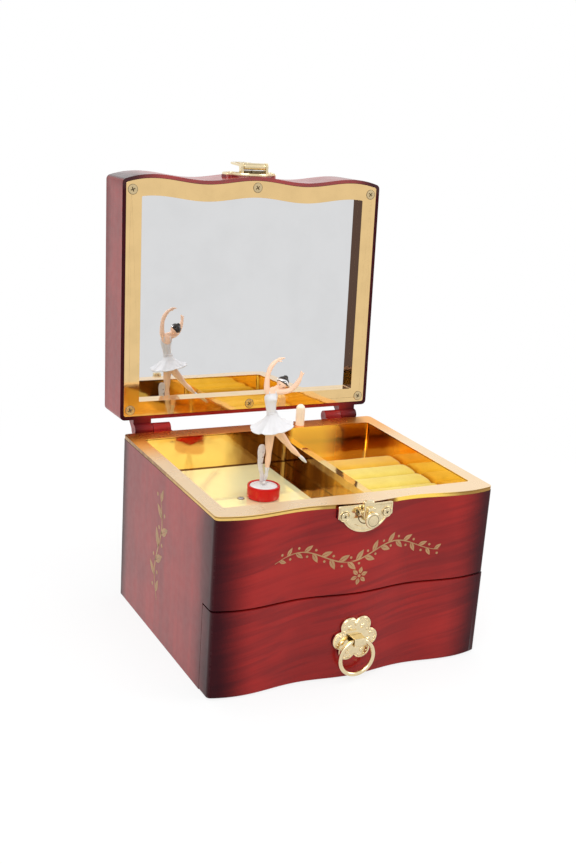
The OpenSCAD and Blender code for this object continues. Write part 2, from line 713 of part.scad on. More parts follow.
module stop_plunger() {
    color([0.93, 0.9, 0.82]) translate([plunger_x, plunger_y, 0]) difference() {
        union() {
            translate([0, 0, shoulder_z])
                cylinder(r = plunger_r, h = rim_z + plunger_up - plunger_r - shoulder_z, $fn = 48);
            translate([0, 0, rim_z + plunger_up - plunger_r]) sphere(r = plunger_r, $fn = 48);
            translate([0, 0, stem_bottom]) cylinder(r = stem_r, h = shoulder_z - stem_bottom + eps, $fn = 48);
        }
        translate([0, 0, stem_bottom + 1]) along_x() translate([0, 0, -3])
            cylinder(r = 0.5 + fit, h = 6, $fn = 24);
    }
}

// wire across the stem's foot that stops under the guide and brakes the fly
module stop_wire() {
    color(steel) translate([plunger_x - 3, plunger_y, stem_bottom + 1]) along_x()
        cylinder(r = 0.5, h = wire_x - plunger_x + 3, $fn = 24);
}

coil_turns = 7;
coil_r = 2.1;
coil_wire = 0.3;
coil_z0 = guide_z + guide_t + 0.4;
coil_h = shoulder_z - coil_z0 - 0.4;
coil_sides = 6;
coil_steps = coil_turns * 14;

module plunger_spring() {
    ring = [for (i = [0:coil_steps]) each [for (k = [0:coil_sides - 1])
        let(a = 360 * coil_turns * i / coil_steps, b = 360 * k / coil_sides, r = coil_r + coil_wire * cos(b),
            z = coil_z0 + coil_h * i / coil_steps + coil_wire * sin(b))
        [plunger_x + r * cos(a), plunger_y + r * sin(a), z]]];
    sides = [for (i = [0:coil_steps - 1]) each [for (k = [0:coil_sides - 1]) let(k2 = (k + 1) % coil_sides)
        [i * coil_sides + k, i * coil_sides + k2, (i + 1) * coil_sides + k2, (i + 1) * coil_sides + k]]];
    ends = [[for (k = [coil_sides - 1:-1:0]) k], [for (k = [0:coil_sides - 1]) coil_steps * coil_sides + k]];
    color(steel) polyhedron(ring, concat(sides, ends), convexity = 10);
}

// ---- dancer ---------------------------------------------------------------------------------

cup_z = floor_z + 0.05;
disc_r = cup_r - 1.4;
disc_z = cup_z + cup_h - 1.6;                  // underside of the white disc
disc_t = 1.2;
ankle_z = disc_z + disc_t + 1.2;               // axis about which the dancer is laid down
pivot_r = 1.1;
skin = [0.95, 0.8, 0.72];

module dancer_cup() {
    color([0.8, 0.05, 0.05]) translate([dancer_x, dancer_y, cup_z]) difference() {
        cylinder(r = cup_r, h = cup_h, $fn = 64);
        translate([0, 0, 1]) cylinder(r = cup_r - 1.1, h = cup_h, $fn = 64);
    }
}

module turntable() {
    color("white") translate([dancer_x, dancer_y, disc_z]) {
        cylinder(r = disc_r, h = disc_t, $fn = 64);
        translate([0, 0, -0.6]) cylinder(r = 3, h = 0.7, $fn = 32);
    }
}

module dancer_magnet() {
    color([0.3, 0.3, 0.32]) translate([dancer_x, dancer_y, cup_z + 1.2])
        cylinder(r = disc_r - 0.4, h = disc_z - cup_z - 1.8, $fn = 48);
}

// ball on which the dancer turns and is laid down
module foot_pivot() {
    color("white") translate([dancer_x, dancer_y, ankle_z]) sphere(r = pivot_r, $fn = 32);
}

// limb from a to b, thick ra at a and rb at b
module limb(a, b, ra, rb) {
    hull() {
        translate(a) sphere(r = ra, $fn = 14);
        translate(b) sphere(r = rb, $fn = 14);
    }
}

foot_z = ankle_z + pivot_r + 0.25;
drawn_h = 65;                                  // height at which the figure below is drawn

// everything on the dancer is drawn upwards from the toe that she stands on
module dancer_pose() {
    translate([dancer_x, dancer_y, foot_z]) scale(figure_h / drawn_h) children();
}

module dancer_figure() {
    color(skin) dancer_pose() {
        // standing leg on its toes
        limb([0.6, 0, 0.7], [1.2, 0, 4], 0.7, 0.8);
        limb([1.2, 0, 4], [1.5, 0.3, 9.6], 0.8, 1.4);
        limb([1.5, 0.3, 9.6], [1.6, 0, 14], 1.4, 1.2);
        limb([1.6, 0, 14], [1.6, 0, 27], 1.2, 2.1);
        // the other leg, held out to the side
        limb([5, 0, 27], [13.2, 0, 17.5], 2.1, 1.3);
        limb([13.2, 0, 17.5], [16, 0.2, 14.6], 1.3, 1.35);
        limb([16, 0.2, 14.6], [19.5, 0, 11.5], 1.35, 0.8);
        limb([19.5, 0, 11.5], [23.4, 0, 7.8], 0.8, 0.5);
        // hips, waist and chest
        limb([1.7, 0, 28.5], [4.1, 0, 28.5], 2.7, 2.7);
        limb([2.9, 0, 29.5], [1.5, 0, 36], 2.9, 2.1);
        limb([1.5, 0, 36], [0.9, 0, 43.6], 2.1, 2.6);
        limb([-0.6, 0, 47], [3.2, 0, 46.6], 1.7, 1.7);
        limb([1.2, 0, 47], [4.8, 0, 49.4], 1.3, 1.1);
        translate([6.9, 0, 51.4]) sphere(r = 3.3, $fn = 20);
        // arms held up in a curve
        limb([-1.3, 0, 48], [-1.4, 0, 56.6], 1.25, 0.95);
        limb([-1.4, 0, 56.6], [2.6, 0, 62.8], 0.95, 0.6);
        limb([2.6, 0, 62.8], [6.8, 0, 64.4], 0.6, 0.4);
        limb([3.6, 0, 47.4], [12.4, 0, 47.6], 1.25, 0.95);
        limb([12.4, 0, 47.6], [17, 0, 53.4], 0.95, 0.6);
        limb([17, 0, 53.4], [17.7, 0, 57.2], 0.6, 0.4);
    }
}

module dancer_skirt() {
    color("white") dancer_pose() translate([2.6, 0, 0]) rotate_extrude($fn = 64) polygon([[3.4, 35],
        [4.6, 34.2], [skirt_r * 0.68, 30.6], [skirt_r, 27.6], [skirt_r, 26.9], [skirt_r * 0.66, 29.4],
        [4.4, 32.8], [3.4, 33]]);
}

// clear strip with three small holes that stands beside her leg and leans up to the skirt
module dancer_support() {
    color([0.9, 0.92, 0.95]) dancer_pose() translate([0, 0.4, 0]) rotate([90, 0, 0])
        linear_extrude(0.8) difference() {
            polygon([[-1.7, 0.2], [-0.3, 0.2], [-0.6, 4.2], [-1.4, 10], [-2.5, 18.5], [-1.9, 26.5],
                [-4.2, 26.5], [-6.1, 18.5], [-4.4, 10], [-2.2, 4.2]]);
            for (p = [[-2.7, 8], [-3.5, 12.5], [-4.2, 17]]) translate(p) circle(r = 0.5, $fn = 16);
        }
}

// ---- movement on the back wall --------------------------------------------------------------

pin_h = 2;                                     // length of the crown pins
crown_pitch = 2 * PI * crown_r / crown_n;
pinion_r = crown_r * pinion_n / crown_n;
housing_r = 12.5;
bed_top = wind_z + housing_r;
housing_d = 13.6;
housing_front = bed_y - housing_d;
wheel_t = 1.7;
wheel_y = housing_front - gap - wheel_t;       // front face of the great wheel
axis_y = wheel_y - pin_h / 2 - pinion_r;       // cylinder and take-off axes
arbor_r = 2;
key_y = back_y + 1.2;
mesh_x = wind_x + crown_r;
pinion_t = 3;
bracket_x = mesh_x + pinion_t / 2 + 0.5;       // left bearing bracket
bracket_t = 1.5;
cyl_x0 = bracket_x + bracket_t + 0.4;
cyl_len = comb_n * 1.2 + 1;
cyl_arbor_r = 0.9;
gear_m = 0.5;
wheel_n = 40;
gov_n = 10;
gov_wheel_n = 36;
fly_n = 9;
cyl_wheel_x = cyl_x0 + cyl_len + 0.3;
bracket2_x = cyl_wheel_x + 1.5 + 0.4;
gov_dir = 60;                                  // from the cylinder up to the governor, seen from +X
fly_dir = 25;
gov_dist = gear_m * (wheel_n + gov_n) / 2;
fly_dist = gear_m * (gov_wheel_n + fly_n) / 2;
gov_at = [axis_y + gov_dist * cos(gov_dir), wind_z + gov_dist * sin(gov_dir)];
fly_at = [gov_at[0] + fly_dist * cos(fly_dir), gov_at[1] + fly_dist * sin(fly_dir)];
gov_wheel_x = bracket2_x + bracket_t + 0.4;
fly_x0 = gov_wheel_x;
fan_x = gov_wheel_x + 2;
fan_r = 4.2;
bracket3_x = fan_x + 7;
comb_tip = cylinder_r + 0.6 + 0.2;             // distance of the comb's tips from the cylinder's axis
comb_len = 13.5;
comb_t = 0.8;
comb_base_z = wind_z - comb_tip - comb_len - 6;

module bracket(x, points) {
    translate([x, 0, 0]) rotate([90, 0, 90]) linear_extrude(bracket_t) polygon(points);
}

module bedplate() {
    color([0.72, 0.7, 0.66]) difference() {
        union() {
            box(wind_x - housing_r - 3.5, bracket3_x + bracket_t, bed_y, bed_y + bed_t,
                comb_base_z - 2, bed_top);
            // two bearing brackets for the cylinder, and a third for the governor
            bracket(bracket_x, [[bed_y + eps, wind_z - 5], [axis_y, wind_z - 3], [axis_y - 2.6, wind_z],
                [axis_y, wind_z + 3], [bed_y + eps, wind_z + 5]]);
            bracket(bracket2_x, [[bed_y + eps, wind_z - 5], [axis_y, wind_z - 3], [axis_y - 2.6, wind_z],
                [axis_y, wind_z + 3], [gov_at[0] - 3, gov_at[1] + 2], [fly_at[0] - 2, fly_at[1] + 3],
                [fly_at[0] + 2.5, fly_at[1]], [bed_y + eps, bed_top - 2.5]]);
            bracket(bracket3_x, [[bed_y + eps, gov_at[1] - 8], [gov_at[0] - 3, gov_at[1] - 2],
                [gov_at[0] - 3, gov_at[1] + 2], [fly_at[0] - 2, fly_at[1] + 3], [fly_at[0] + 2.5, fly_at[1]],
                [bed_y + eps, bed_top - 2.5]]);
            // block that carries the comb
            box(cyl_x0, cyl_x0 + cyl_len, axis_y + comb_t / 2, bed_y + eps, comb_base_z - 1, comb_base_z + 6);
        }
        translate([wind_x, bed_y - 1, wind_z]) along_y() cylinder(r = arbor_r + fit, h = bed_t + 2, $fn = 48);
        for (p = bed_screw_at) translate([p[0], bed_y - 1, p[1]]) along_y()
            cylinder(r = screw_r + fit, h = bed_t + 2, $fn = 32);
        translate([0, axis_y, wind_z]) along_x() cylinder(r = cyl_arbor_r + fit, h = 60, $fn = 32);
        translate([0, gov_at[0], gov_at[1]]) along_x() cylinder(r = 0.5 + fit, h = 80, $fn = 24);
        translate([0, fly_at[0], fly_at[1]]) along_x() cylinder(r = 0.5 + fit, h = 80, $fn = 24);
        for (i = [0, 1]) translate([cyl_x0 + cyl_len * (0.25 + 0.5 * i), axis_y, comb_base_z + 3]) along_y()
            cylinder(r = screw_r + fit, h = 6, $fn = 32);
    }
}

module movement_screws() {
    color(steel) for (p = bed_screw_at) translate([p[0], bed_y, p[1]]) rotate([90, 0, 0])
        pan_screw(2, 0.9, screw_r, 5);
}

module comb() {
    pitch = (cyl_len - 1) / comb_n;
    color(steel) difference() {
        union() {
            box(cyl_x0, cyl_x0 + cyl_len, axis_y - comb_t / 2, axis_y + comb_t / 2,
                comb_base_z, comb_base_z + 6);
            for (i = [0:comb_n - 1]) box(cyl_x0 + 0.5 + pitch * (i + 0.12), cyl_x0 + 0.5 + pitch * (i + 0.88),
                axis_y - 0.3, axis_y + 0.3, comb_base_z + 6 - eps, wind_z - comb_tip);
        }
        for (i = [0, 1]) translate([cyl_x0 + cyl_len * (0.25 + 0.5 * i), axis_y - 2, comb_base_z + 3]) along_y()
            cylinder(r = screw_r + fit, h = 4, $fn = 32);
    }
}

module comb_screws() {
    color(steel) for (i = [0, 1])
        translate([cyl_x0 + cyl_len * (0.25 + 0.5 * i), axis_y - comb_t / 2, comb_base_z + 3])
            rotate([90, 0, 0]) pan_screw(1.9, 1, screw_r, 5);
}

// brass cylinder with a line of small pins for each comb tooth
module pinned_cylinder() {
    pitch = (cyl_len - 1) / comb_n;
    color(brass) translate([cyl_x0, axis_y, wind_z]) difference() {
        union() {
            along_x() cylinder(r = cylinder_r, h = cyl_len, $fn = 64);
            for (i = [0:comb_n - 1], k = [0, 1]) translate([0.5 + pitch * (i + 0.5), 0, 0])
                rotate([77 * i + 151 * k + 13 * (i * k % 5), 0, 0])
                    translate([0, 0, cylinder_r - 0.4]) cylinder(r = 0.3, h = 1, $fn = 6);
        }
        translate([1, 0, 0]) along_x() cylinder(r = cylinder_r - 1, h = cyl_len - 2, $fn = 64);
        translate([-1, 0, 0]) along_x() cylinder(r = cyl_arbor_r + 0.02, h = cyl_len + 2, $fn = 32);
    }
}

module cylinder_arbor() {
    color(steel) translate([mesh_x - pinion_t / 2 - 0.5, axis_y, wind_z]) along_x()
        cylinder(r = cyl_arbor_r, h = bracket2_x + bracket_t - mesh_x + pinion_t / 2 + 0.5, $fn = 32);
}

// pinion with thin teeth that run between the crown pins
module crown_pinion() {
    ra = pinion_r + 0.75;
    difference() {
        linear_extrude(pinion_t) union() {
            circle(r = pinion_r - 1.15, $fn = 48);
            for (k = [0:pinion_n - 1]) rotate(360 * (k + 0.5) / pinion_n)
                polygon([[0, -0.36], [pinion_r, -0.3], [ra, -0.16], [ra, 0.16], [pinion_r, 0.3], [0, 0.36]]);
        }
        translate([0, 0, -1]) cylinder(r = cyl_arbor_r + 0.02, h = pinion_t + 2, $fn = 32);
    }
}

module cylinder_pinion() {
    color(brass) translate([mesh_x - pinion_t / 2, axis_y, wind_z]) along_x() crown_pinion();
}

module cylinder_wheel() {
    color(brass) translate([cyl_wheel_x, axis_y, wind_z]) along_x()
        spur(wheel_n, gear_m, 1.5, cyl_arbor_r + 0.02, 0);
}

module spring_housing() {
    color([0.8, 0.78, 0.72]) translate([wind_x, housing_front, wind_z]) along_y() difference() {
        cylinder(r = housing_r, h = bed_y - housing_front, $fn = 64);
        translate([0, 0, 1]) cylinder(r = housing_r - 1, h = 20, $fn = 64);
        translate([0, 0, -1]) cylinder(r = arbor_r + fit, h = 3, $fn = 48);
    }
}

// coiled strip between the arbor and the housing
module mainspring() {
    turns = 9;
    n = turns * 20;
    r0 = arbor_r + 0.4;
    r1 = housing_r - 1.5;
    t = 0.35;
    function spiral(i, off) = let(a = 360 * turns * i / n, r = r0 + (r1 - r0) * i / n + off)
        [r * cos(a), r * sin(a)];
    color(steel) translate([wind_x, housing_front + 2, wind_z]) along_y() linear_extrude(housing_d - 3)
        polygon(concat([for (i = [0:n]) spiral(i, 0)], [for (i = [n:-1:0]) spiral(i, t)]));
}

module winding_arbor() {
    color(steel) translate([wind_x, wheel_y - 0.8, wind_z]) along_y()
        cylinder(r = arbor_r, h = key_y + 6 - wheel_y + 0.8, $fn = 48);
}

// great wheel: a disc whose crown pins point forwards
module great_wheel() {
    color(brass) translate([wind_x, wheel_y, wind_z]) {
        along_y() difference() {
            cylinder(r = crown_r + 1, h = wheel_t, $fn = 64);
            translate([0, 0, -1]) cylinder(r = arbor_r + 0.02, h = wheel_t + 2, $fn = 48);
            for (a = [45:90:315]) rotate([0, 0, a]) translate([6, 0, -1])
                cylinder(r = 2.2, h = wheel_t + 2, $fn = 32);
        }
        for (k = [0:crown_n - 1]) rotate([0, 360 * k / crown_n, 0]) translate([crown_r, 0.2, 0])
            rotate([90, 0, 0]) cylinder(r = 0.35, h = pin_h + 0.2, $fn = 16);
    }
}

module winding_key() {
    color([0.85, 0.8, 0.66]) translate([wind_x, key_y, wind_z]) difference() {
        union() {
            along_y() cylinder(r = 3.2, h = 8, $fn = 48);
            for (s = [-1, 1]) translate([0, 11.5, s * 6.2]) rotate([0, 90, 0])
                translate([0, 0, -0.9]) cylinder(r = 5.6, h = 1.8, $fn = 48);
            box(-0.9, 0.9, 6, 12, -6.2, 6.2);
        }
        translate([0, -1, 0]) along_y() cylinder(r = arbor_r + 0.02, h = 7.1, $fn = 48);
        for (s = [-1, 1]) translate([-2, 11.5, s * 7]) rotate([0, 90, 0]) cylinder(r = 2.4, h = 4, $fn = 32);
    }
}

// governor: pinion, large wheel and arbor in one moulding
module governor_wheel() {
    color(nylon) {
        translate([cyl_wheel_x - 0.3, gov_at[0], gov_at[1]]) along_x()
            spur(gov_n, gear_m, 2.1, 0.4, mesh_turn(wheel_n, gov_n, gov_dir, 0));
        translate([gov_wheel_x, gov_at[0], gov_at[1]]) along_x() spur(gov_wheel_n, gear_m, 1.2, 0.4, 0);
        translate([cyl_wheel_x - 1.5, gov_at[0], gov_at[1]]) along_x()
            cylinder(r = 0.5, h = bracket3_x + bracket_t - cyl_wheel_x + 1.5, $fn = 24);
    }
}

module fly() {
    color(nylon) {
        translate([fly_x0 - 0.2, fly_at[0], fly_at[1]]) along_x()
            spur(fly_n, gear_m, 1.6, 0.4, mesh_turn(gov_wheel_n, fly_n, fly_dir, 0));
        translate([bracket2_x, fly_at[0], fly_at[1]]) along_x()
            cylinder(r = 0.5, h = bracket3_x + bracket_t - bracket2_x, $fn = 24);
        translate([fan_x, fly_at[0], fly_at[1]]) translate([0, -0.25, -fan_r]) cube([5.5, 0.5, 2 * fan_r]);
    }
}

// ---- drive under the tray -------------------------------------------------------------------

bridge_t = 1.6;
drive_gap = 1.4;                               // between the bridge and the gears on it
drive_t = 2.5;
magnet_t = 4.2;
// the bridge, its gears and the magnet stand midway between the shelf and the tray
bridge_z = (drawer_open_h + bay_t + tray_bottom - bridge_t - magnet_t) / 2;
drive_z = bridge_z + bridge_t + drive_gap;
drive_vec = [dancer_x - wind_x, dancer_y - axis_y];
drive_dist = norm(drive_vec);
drive_dir = atan2(drive_vec[1], drive_vec[0]);
drive_m = 2 * drive_dist / (drive_n + rotor_n);
bridge_post_at = [[wind_x + 26, axis_y - 8], [dancer_x + 24, dancer_y - 6], [dancer_x - 22, dancer_y + 10]];

takeoff_z = wind_z + crown_r - pinion_t / 2;    // underside of its pinion

module takeoff_shaft() {
    color(steel) {
        translate([wind_x, axis_y, takeoff_z]) crown_pinion();
        translate([wind_x, axis_y, takeoff_z - 0.8])
            cylinder(r = cyl_arbor_r + 0.03, h = tray_bottom - 0.4 - takeoff_z + 0.8, $fn = 32);
    }
}

module drive_gear() {
    color(nylon) translate([wind_x, axis_y, drive_z])
        spur(drive_n, drive_m, drive_t, cyl_arbor_r + 0.05, 0, 0.75, 1, 0.82);
}

module rotor_gear() {
    color(nylon) translate([dancer_x, dancer_y, drive_z]) difference() {
        union() {
            linear_extrude(drive_t) polygon(gear_points(rotor_n, drive_m, 0.75, 1, 0.82,
                mesh_turn(drive_n, rotor_n, drive_dir, 0)));
            // cup that holds the magnet
            cylinder(r = 8, h = drive_t + magnet_t + 0.3, $fn = 48);
            translate([0, 0, -1.2]) cylinder(r = 2.4, h = 2, $fn = 32);
        }
        translate([0, 0, drive_t]) cylinder(r = 7, h = 6, $fn = 48);
        translate([0, 0, -2]) cylinder(r = 1 + fit, h = drive_t + 4, $fn = 32);
    }
}

module rotor_magnet() {
    color([0.3, 0.3, 0.32]) translate([dancer_x, dancer_y, drive_z + drive_t]) difference() {
        cylinder(r = 7 - 0.02, h = magnet_t, $fn = 48);
        translate([0, 0, -1]) cylinder(r = 1.2, h = 3, $fn = 32);
    }
}

// plate that carries the take-off shaft and the rotor's stub
module gear_bridge() {
    color([0.72, 0.7, 0.66]) difference() {
        union() {
            translate([0, 0, bridge_z]) linear_extrude(bridge_t) union() {
                for (p = concat(bridge_post_at, [[dancer_x, dancer_y], [wind_x, axis_y]]))
                    translate(p) circle(r = 4.5, $fn = 32);
                bar([wind_x, axis_y], [dancer_x, dancer_y], 7);
                for (p = bridge_post_at)
                    bar(p[0] > wind_x + 20 ? [wind_x, axis_y] : [dancer_x, dancer_y], p, 6);
            }
            translate([dancer_x, dancer_y, bridge_z])
                cylinder(r = 1, h = bridge_t + drive_gap + drive_t, $fn = 32);
        }
        translate([wind_x, axis_y, bridge_z - 1])
            cylinder(r = cyl_arbor_r + 0.03 + fit, h = bridge_t + 2, $fn = 32);
        for (p = bridge_post_at) translate([p[0], p[1], bridge_z - 1])
            cylinder(r = screw_r + fit, h = bridge_t + 2, $fn = 32);
    }
}

module bar(a, b, w) {
    d = b - a;
    translate(a) rotate(atan2(d[1], d[0])) translate([0, -w / 2]) square([norm(d), w]);
}

module bridge_screws() {
    color(steel) for (p = bridge_post_at) translate([p[0], p[1], bridge_z]) mirror([0, 0, 1])
        pan_screw(2, 0.8, screw_r, 7);
}

case_shell();
base_panel();
base_screws();
bay_divider();
gold_tray();
floor_mirror();
mirror_screw();
ring_rolls();
hinge_pins();
catch_plate();
catch_screws();
lid_shell();
lid_frame();
lid_mirror();
mirror_pad();
frame_screws();
hasp_plate();
hasp_screws();
hasp_pin();
hasp();
drawer_front();
drawer_tray();
drawer_lining();
drawer_screws();
pull_plate();
pull_pins();
pull_staple();
pull_ring();
stop_plunger();
plunger_spring();
stop_wire();
dancer_cup();
turntable();
dancer_magnet();
foot_pivot();
dancer_figure();
dancer_skirt();
dancer_support();
bedplate();
movement_screws();
comb();
comb_screws();
pinned_cylinder();
cylinder_arbor();
cylinder_pinion();
cylinder_wheel();
spring_housing();
mainspring();
winding_arbor();
great_wheel();
winding_key();
governor_wheel();
fly();
takeoff_shaft();
drive_gear();
rotor_gear();
rotor_magnet();
gear_bridge();
bridge_screws();
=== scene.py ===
import json
import math

import bmesh
import bpy
from mathutils import Matrix, Vector, noise
from mathutils.bvhtree import BVHTree


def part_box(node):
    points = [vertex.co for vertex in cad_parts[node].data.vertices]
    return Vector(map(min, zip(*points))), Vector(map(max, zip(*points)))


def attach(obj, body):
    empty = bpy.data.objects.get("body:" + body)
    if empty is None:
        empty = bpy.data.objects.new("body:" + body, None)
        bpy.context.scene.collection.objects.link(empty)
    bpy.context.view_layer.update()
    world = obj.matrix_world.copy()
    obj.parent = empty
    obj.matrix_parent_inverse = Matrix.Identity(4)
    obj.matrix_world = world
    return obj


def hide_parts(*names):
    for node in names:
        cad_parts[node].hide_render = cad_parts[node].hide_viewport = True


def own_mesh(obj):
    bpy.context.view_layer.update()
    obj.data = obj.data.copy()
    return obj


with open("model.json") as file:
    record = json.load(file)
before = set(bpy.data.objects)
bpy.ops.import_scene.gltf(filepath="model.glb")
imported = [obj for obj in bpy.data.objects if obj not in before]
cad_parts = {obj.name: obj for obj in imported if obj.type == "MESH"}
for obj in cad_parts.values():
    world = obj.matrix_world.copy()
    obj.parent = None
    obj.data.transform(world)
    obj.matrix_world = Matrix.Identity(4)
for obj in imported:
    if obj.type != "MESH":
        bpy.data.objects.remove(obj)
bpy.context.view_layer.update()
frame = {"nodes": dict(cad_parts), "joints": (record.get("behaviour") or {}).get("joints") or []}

nodes = frame["nodes"]
joints = {joint["name"]: joint for joint in frame["joints"]}
mm = 0.001
print("frame loaded:", len(nodes), "nodes")

# camera, lamps, world and floor

camera = {"place": (-0.2801, -0.5282, 0.2878), "turn": (72.2453, -4.4847, -28.3008), "lens": 50.925,
          "shift": (-0.0614, 0.0226)}

lamps = {  # where each soft panel hangs, its width in metres and its watts
    "keyPanel": {"place": (-0.55, -0.75, 0.95), "size": 0.7, "watts": 7.5},
    "sidePanel": {"place": (0.95, -0.35, 0.65), "size": 0.6, "watts": 3.5},
    "topPanel": {"place": (0.05, 0.2, 1.2), "size": 0.8, "watts": 6.0},
}

room = {  # how bright polished surfaces see the room, in front, around, overhead and straight above
    "front": 0.79, "around": 0.98, "overhead": 1.0, "zenith": 0.74, "fill": 0.62,
    "floorPaint": (0.88, 0.88, 0.88), "nearGlow": 0.80, "fadeFrom": 0.16, "fadeTo": 0.42,
    "floorHalf": 4, "floorDrop": 0.2 * mm,
}


def makeCamera():
    data = bpy.data.cameras.new("camera")
    data.sensor_width = 36
    data.lens = camera["lens"]
    data.shift_x, data.shift_y = camera["shift"]
    item = bpy.data.objects.new("camera", data)
    item.location = camera["place"]
    item.rotation_euler = [math.radians(a) for a in camera["turn"]]
    bpy.context.scene.collection.objects.link(item)
    bpy.context.scene.camera = item


def makeLamps():
    target = Vector((0, 0, 0.09))
    for name, lamp in lamps.items():
        data = bpy.data.lights.new(name, "AREA")
        data.size = lamp["size"]
        data.energy = lamp["watts"]
        item = bpy.data.objects.new(name, data)
        item.location = lamp["place"]
        item.rotation_euler = (target - item.location).to_track_quat("-Z", "Y").to_euler()
        item.visible_glossy = name != "topPanel"  # its reflection would burn out the gilt floor
        bpy.context.scene.collection.objects.link(item)


def addNode(tree, kind, inputs=None, **settings):
    # one shader node, with values or links on its sockets
    item = tree.nodes.new(kind)
    for key, value in settings.items():
        setattr(item, key, value)
    for key, value in (inputs or {}).items():
        if isinstance(value, bpy.types.NodeSocket):
            tree.links.new(value, item.inputs[key])
        else:
            item.inputs[key].default_value = value
    return item


def calc(tree, operation, a, b=0.0, c=0.0):
    return addNode(tree, "ShaderNodeMath", {0: a, 1: b, 2: c}, operation=operation).outputs[0]


def between(tree, amount, a, b):
    return addNode(tree, "ShaderNodeMix", {0: amount, 2: a, 3: b}).outputs[0]


def fade(tree, value, low, high, start=0.0, end=1.0):
    # smooth change from start to end while value goes from low to high
    item = addNode(tree, "ShaderNodeMapRange", {"Value": value, 1: low, 2: high, 3: start, 4: end})
    item.interpolation_type = "SMOOTHSTEP"
    return item.outputs[0]


def blend(tree, amount, a, b):
    item = tree.nodes.new("ShaderNodeMix")
    item.data_type = "RGBA"
    for index, value in ((0, amount), (6, a), (7, b)):
        if isinstance(value, bpy.types.NodeSocket):
            tree.links.new(value, item.inputs[index])
        elif index == 0:
            item.inputs[0].default_value = value
        else:
            item.inputs[index].default_value = (*value[:3], 1)
    return item.outputs[2]


def roomLevel(tree, direction):
    # brightness that polished surfaces see in one direction from the box
    axes = addNode(tree, "ShaderNodeSeparateXYZ", {0: direction})
    level = fade(tree, axes.outputs["Y"], -0.7, 0.1, room["front"], room["around"])
    above = fade(tree, axes.outputs["Z"], 0.6, 0.9, room["overhead"], room["zenith"])
    return between(tree, fade(tree, axes.outputs["Z"], 0.02, 0.22), level, above)


def makeWorld():
    world = bpy.data.worlds.new("room")
    bpy.context.scene.world = world
    world.use_nodes = True
    tree = world.node_tree
    tree.nodes.clear()
    path = addNode(tree, "ShaderNodeLightPath")
    seen = roomLevel(tree, addNode(tree, "ShaderNodeTexCoord").outputs["Generated"])
    polished = calc(tree, "MAXIMUM", path.outputs["Is Glossy Ray"], path.outputs["Is Transmission Ray"])
    level = between(tree, polished, room["fill"], seen)
    level = between(tree, path.outputs["Is Camera Ray"], level, 1.0)
    paint = addNode(tree, "ShaderNodeCombineColor", {0: level, 1: level, 2: level})
    back = addNode(tree, "ShaderNodeBackground", {"Color": paint.outputs[0], "Strength": 1.0})
    out = addNode(tree, "ShaderNodeOutputWorld")
    tree.links.new(back.outputs[0], out.inputs[0])


def makeFloor():
    mesh = bpy.data.meshes.new("floor")
    half = room["floorHalf"]
    corners = [(-half, -half, 0), (half, -half, 0), (half, half, 0), (-half, half, 0)]
    mesh.from_pydata(corners, [], [(0, 1, 2, 3)])
    item = bpy.data.objects.new("floor", mesh)
    item.location.z = -room["floorDrop"]
    bpy.context.scene.collection.objects.link(item)
    paint = bpy.data.materials.new("paleFloor")
    paint.use_nodes = True
    tree = paint.node_tree
    tree.nodes.clear()
    path = addNode(tree, "ShaderNodeLightPath")
    place = addNode(tree, "ShaderNodeTexCoord").outputs["Object"]
    distance = addNode(tree, "ShaderNodeVectorMath", {0: place}, operation="LENGTH").outputs["Value"]
    toward = addNode(tree, "ShaderNodeVectorMath", {0: place}, operation="NORMALIZE").outputs[0]
    polished = calc(tree, "MAXIMUM", path.outputs["Is Glossy Ray"], path.outputs["Is Transmission Ray"])
    seen = calc(tree, "MAXIMUM", path.outputs["Is Camera Ray"], polished)
    # lit near the box, where its shadow falls, and as pale as the room further out
    away = fade(tree, distance, room["fadeFrom"], room["fadeTo"], room["nearGlow"], 1.0)
    level = between(tree, polished, 1.0, roomLevel(tree, toward))
    paintColour = addNode(tree, "ShaderNodeCombineColor", {0: level, 1: level, 2: level}).outputs[0]
    flat = addNode(tree, "ShaderNodeBsdfDiffuse", {"Color": (*room["floorPaint"], 1)})
    glow = addNode(tree, "ShaderNodeEmission", {"Color": paintColour, "Strength": 1.0})
    mix = addNode(tree, "ShaderNodeMixShader", {0: calc(tree, "MULTIPLY", seen, away), 1: flat.outputs[0],
                                                2: glow.outputs[0]})
    out = addNode(tree, "ShaderNodeOutputMaterial")
    tree.links.new(mix.outputs[0], out.inputs[0])
    mesh.materials.append(paint)


bpy.context.scene.view_settings.view_transform = "Standard"
makeCamera()
makeLamps()
makeWorld()
makeFloor()
print("camera, lamps and floor made")

# finishes


def newFinish(name, colour, roughness, metallic=0.0, **extra):
    paint = bpy.data.materials.new(name)
    paint.use_nodes = True
    tree = paint.node_tree
    shader = tree.nodes["Principled BSDF"]
    shader.inputs["Base Color"].default_value = (*colour, 1)
    shader.inputs["Roughness"].default_value = roughness
    shader.inputs["Metallic"].default_value = metallic
    for key, value in extra.items():
        shader.inputs[key].default_value = value
    return paint, tree, shader


def spots(tree, scale, detail=3.0, stretch=(1, 1, 1), rough=0.5, turn=(0, 0, 0), distortion=0.0):
    # cloudy pattern fixed to the piece, scale in patches per metre
    place = addNode(tree, "ShaderNodeTexCoord").outputs["Object"]
    angles = [math.radians(a) for a in turn]
    swung = addNode(tree, "ShaderNodeVectorRotate", {"Vector": place, "Rotation": angles},
                    rotation_type="EULER_XYZ")
    fit = addNode(tree, "ShaderNodeMapping", {"Vector": swung.outputs[0], "Scale": stretch})
    return addNode(tree, "ShaderNodeTexNoise", {"Vector": fit.outputs[0], "Scale": scale, "Detail": detail,
                                                "Roughness": rough, "Distortion": distortion}).outputs[0]


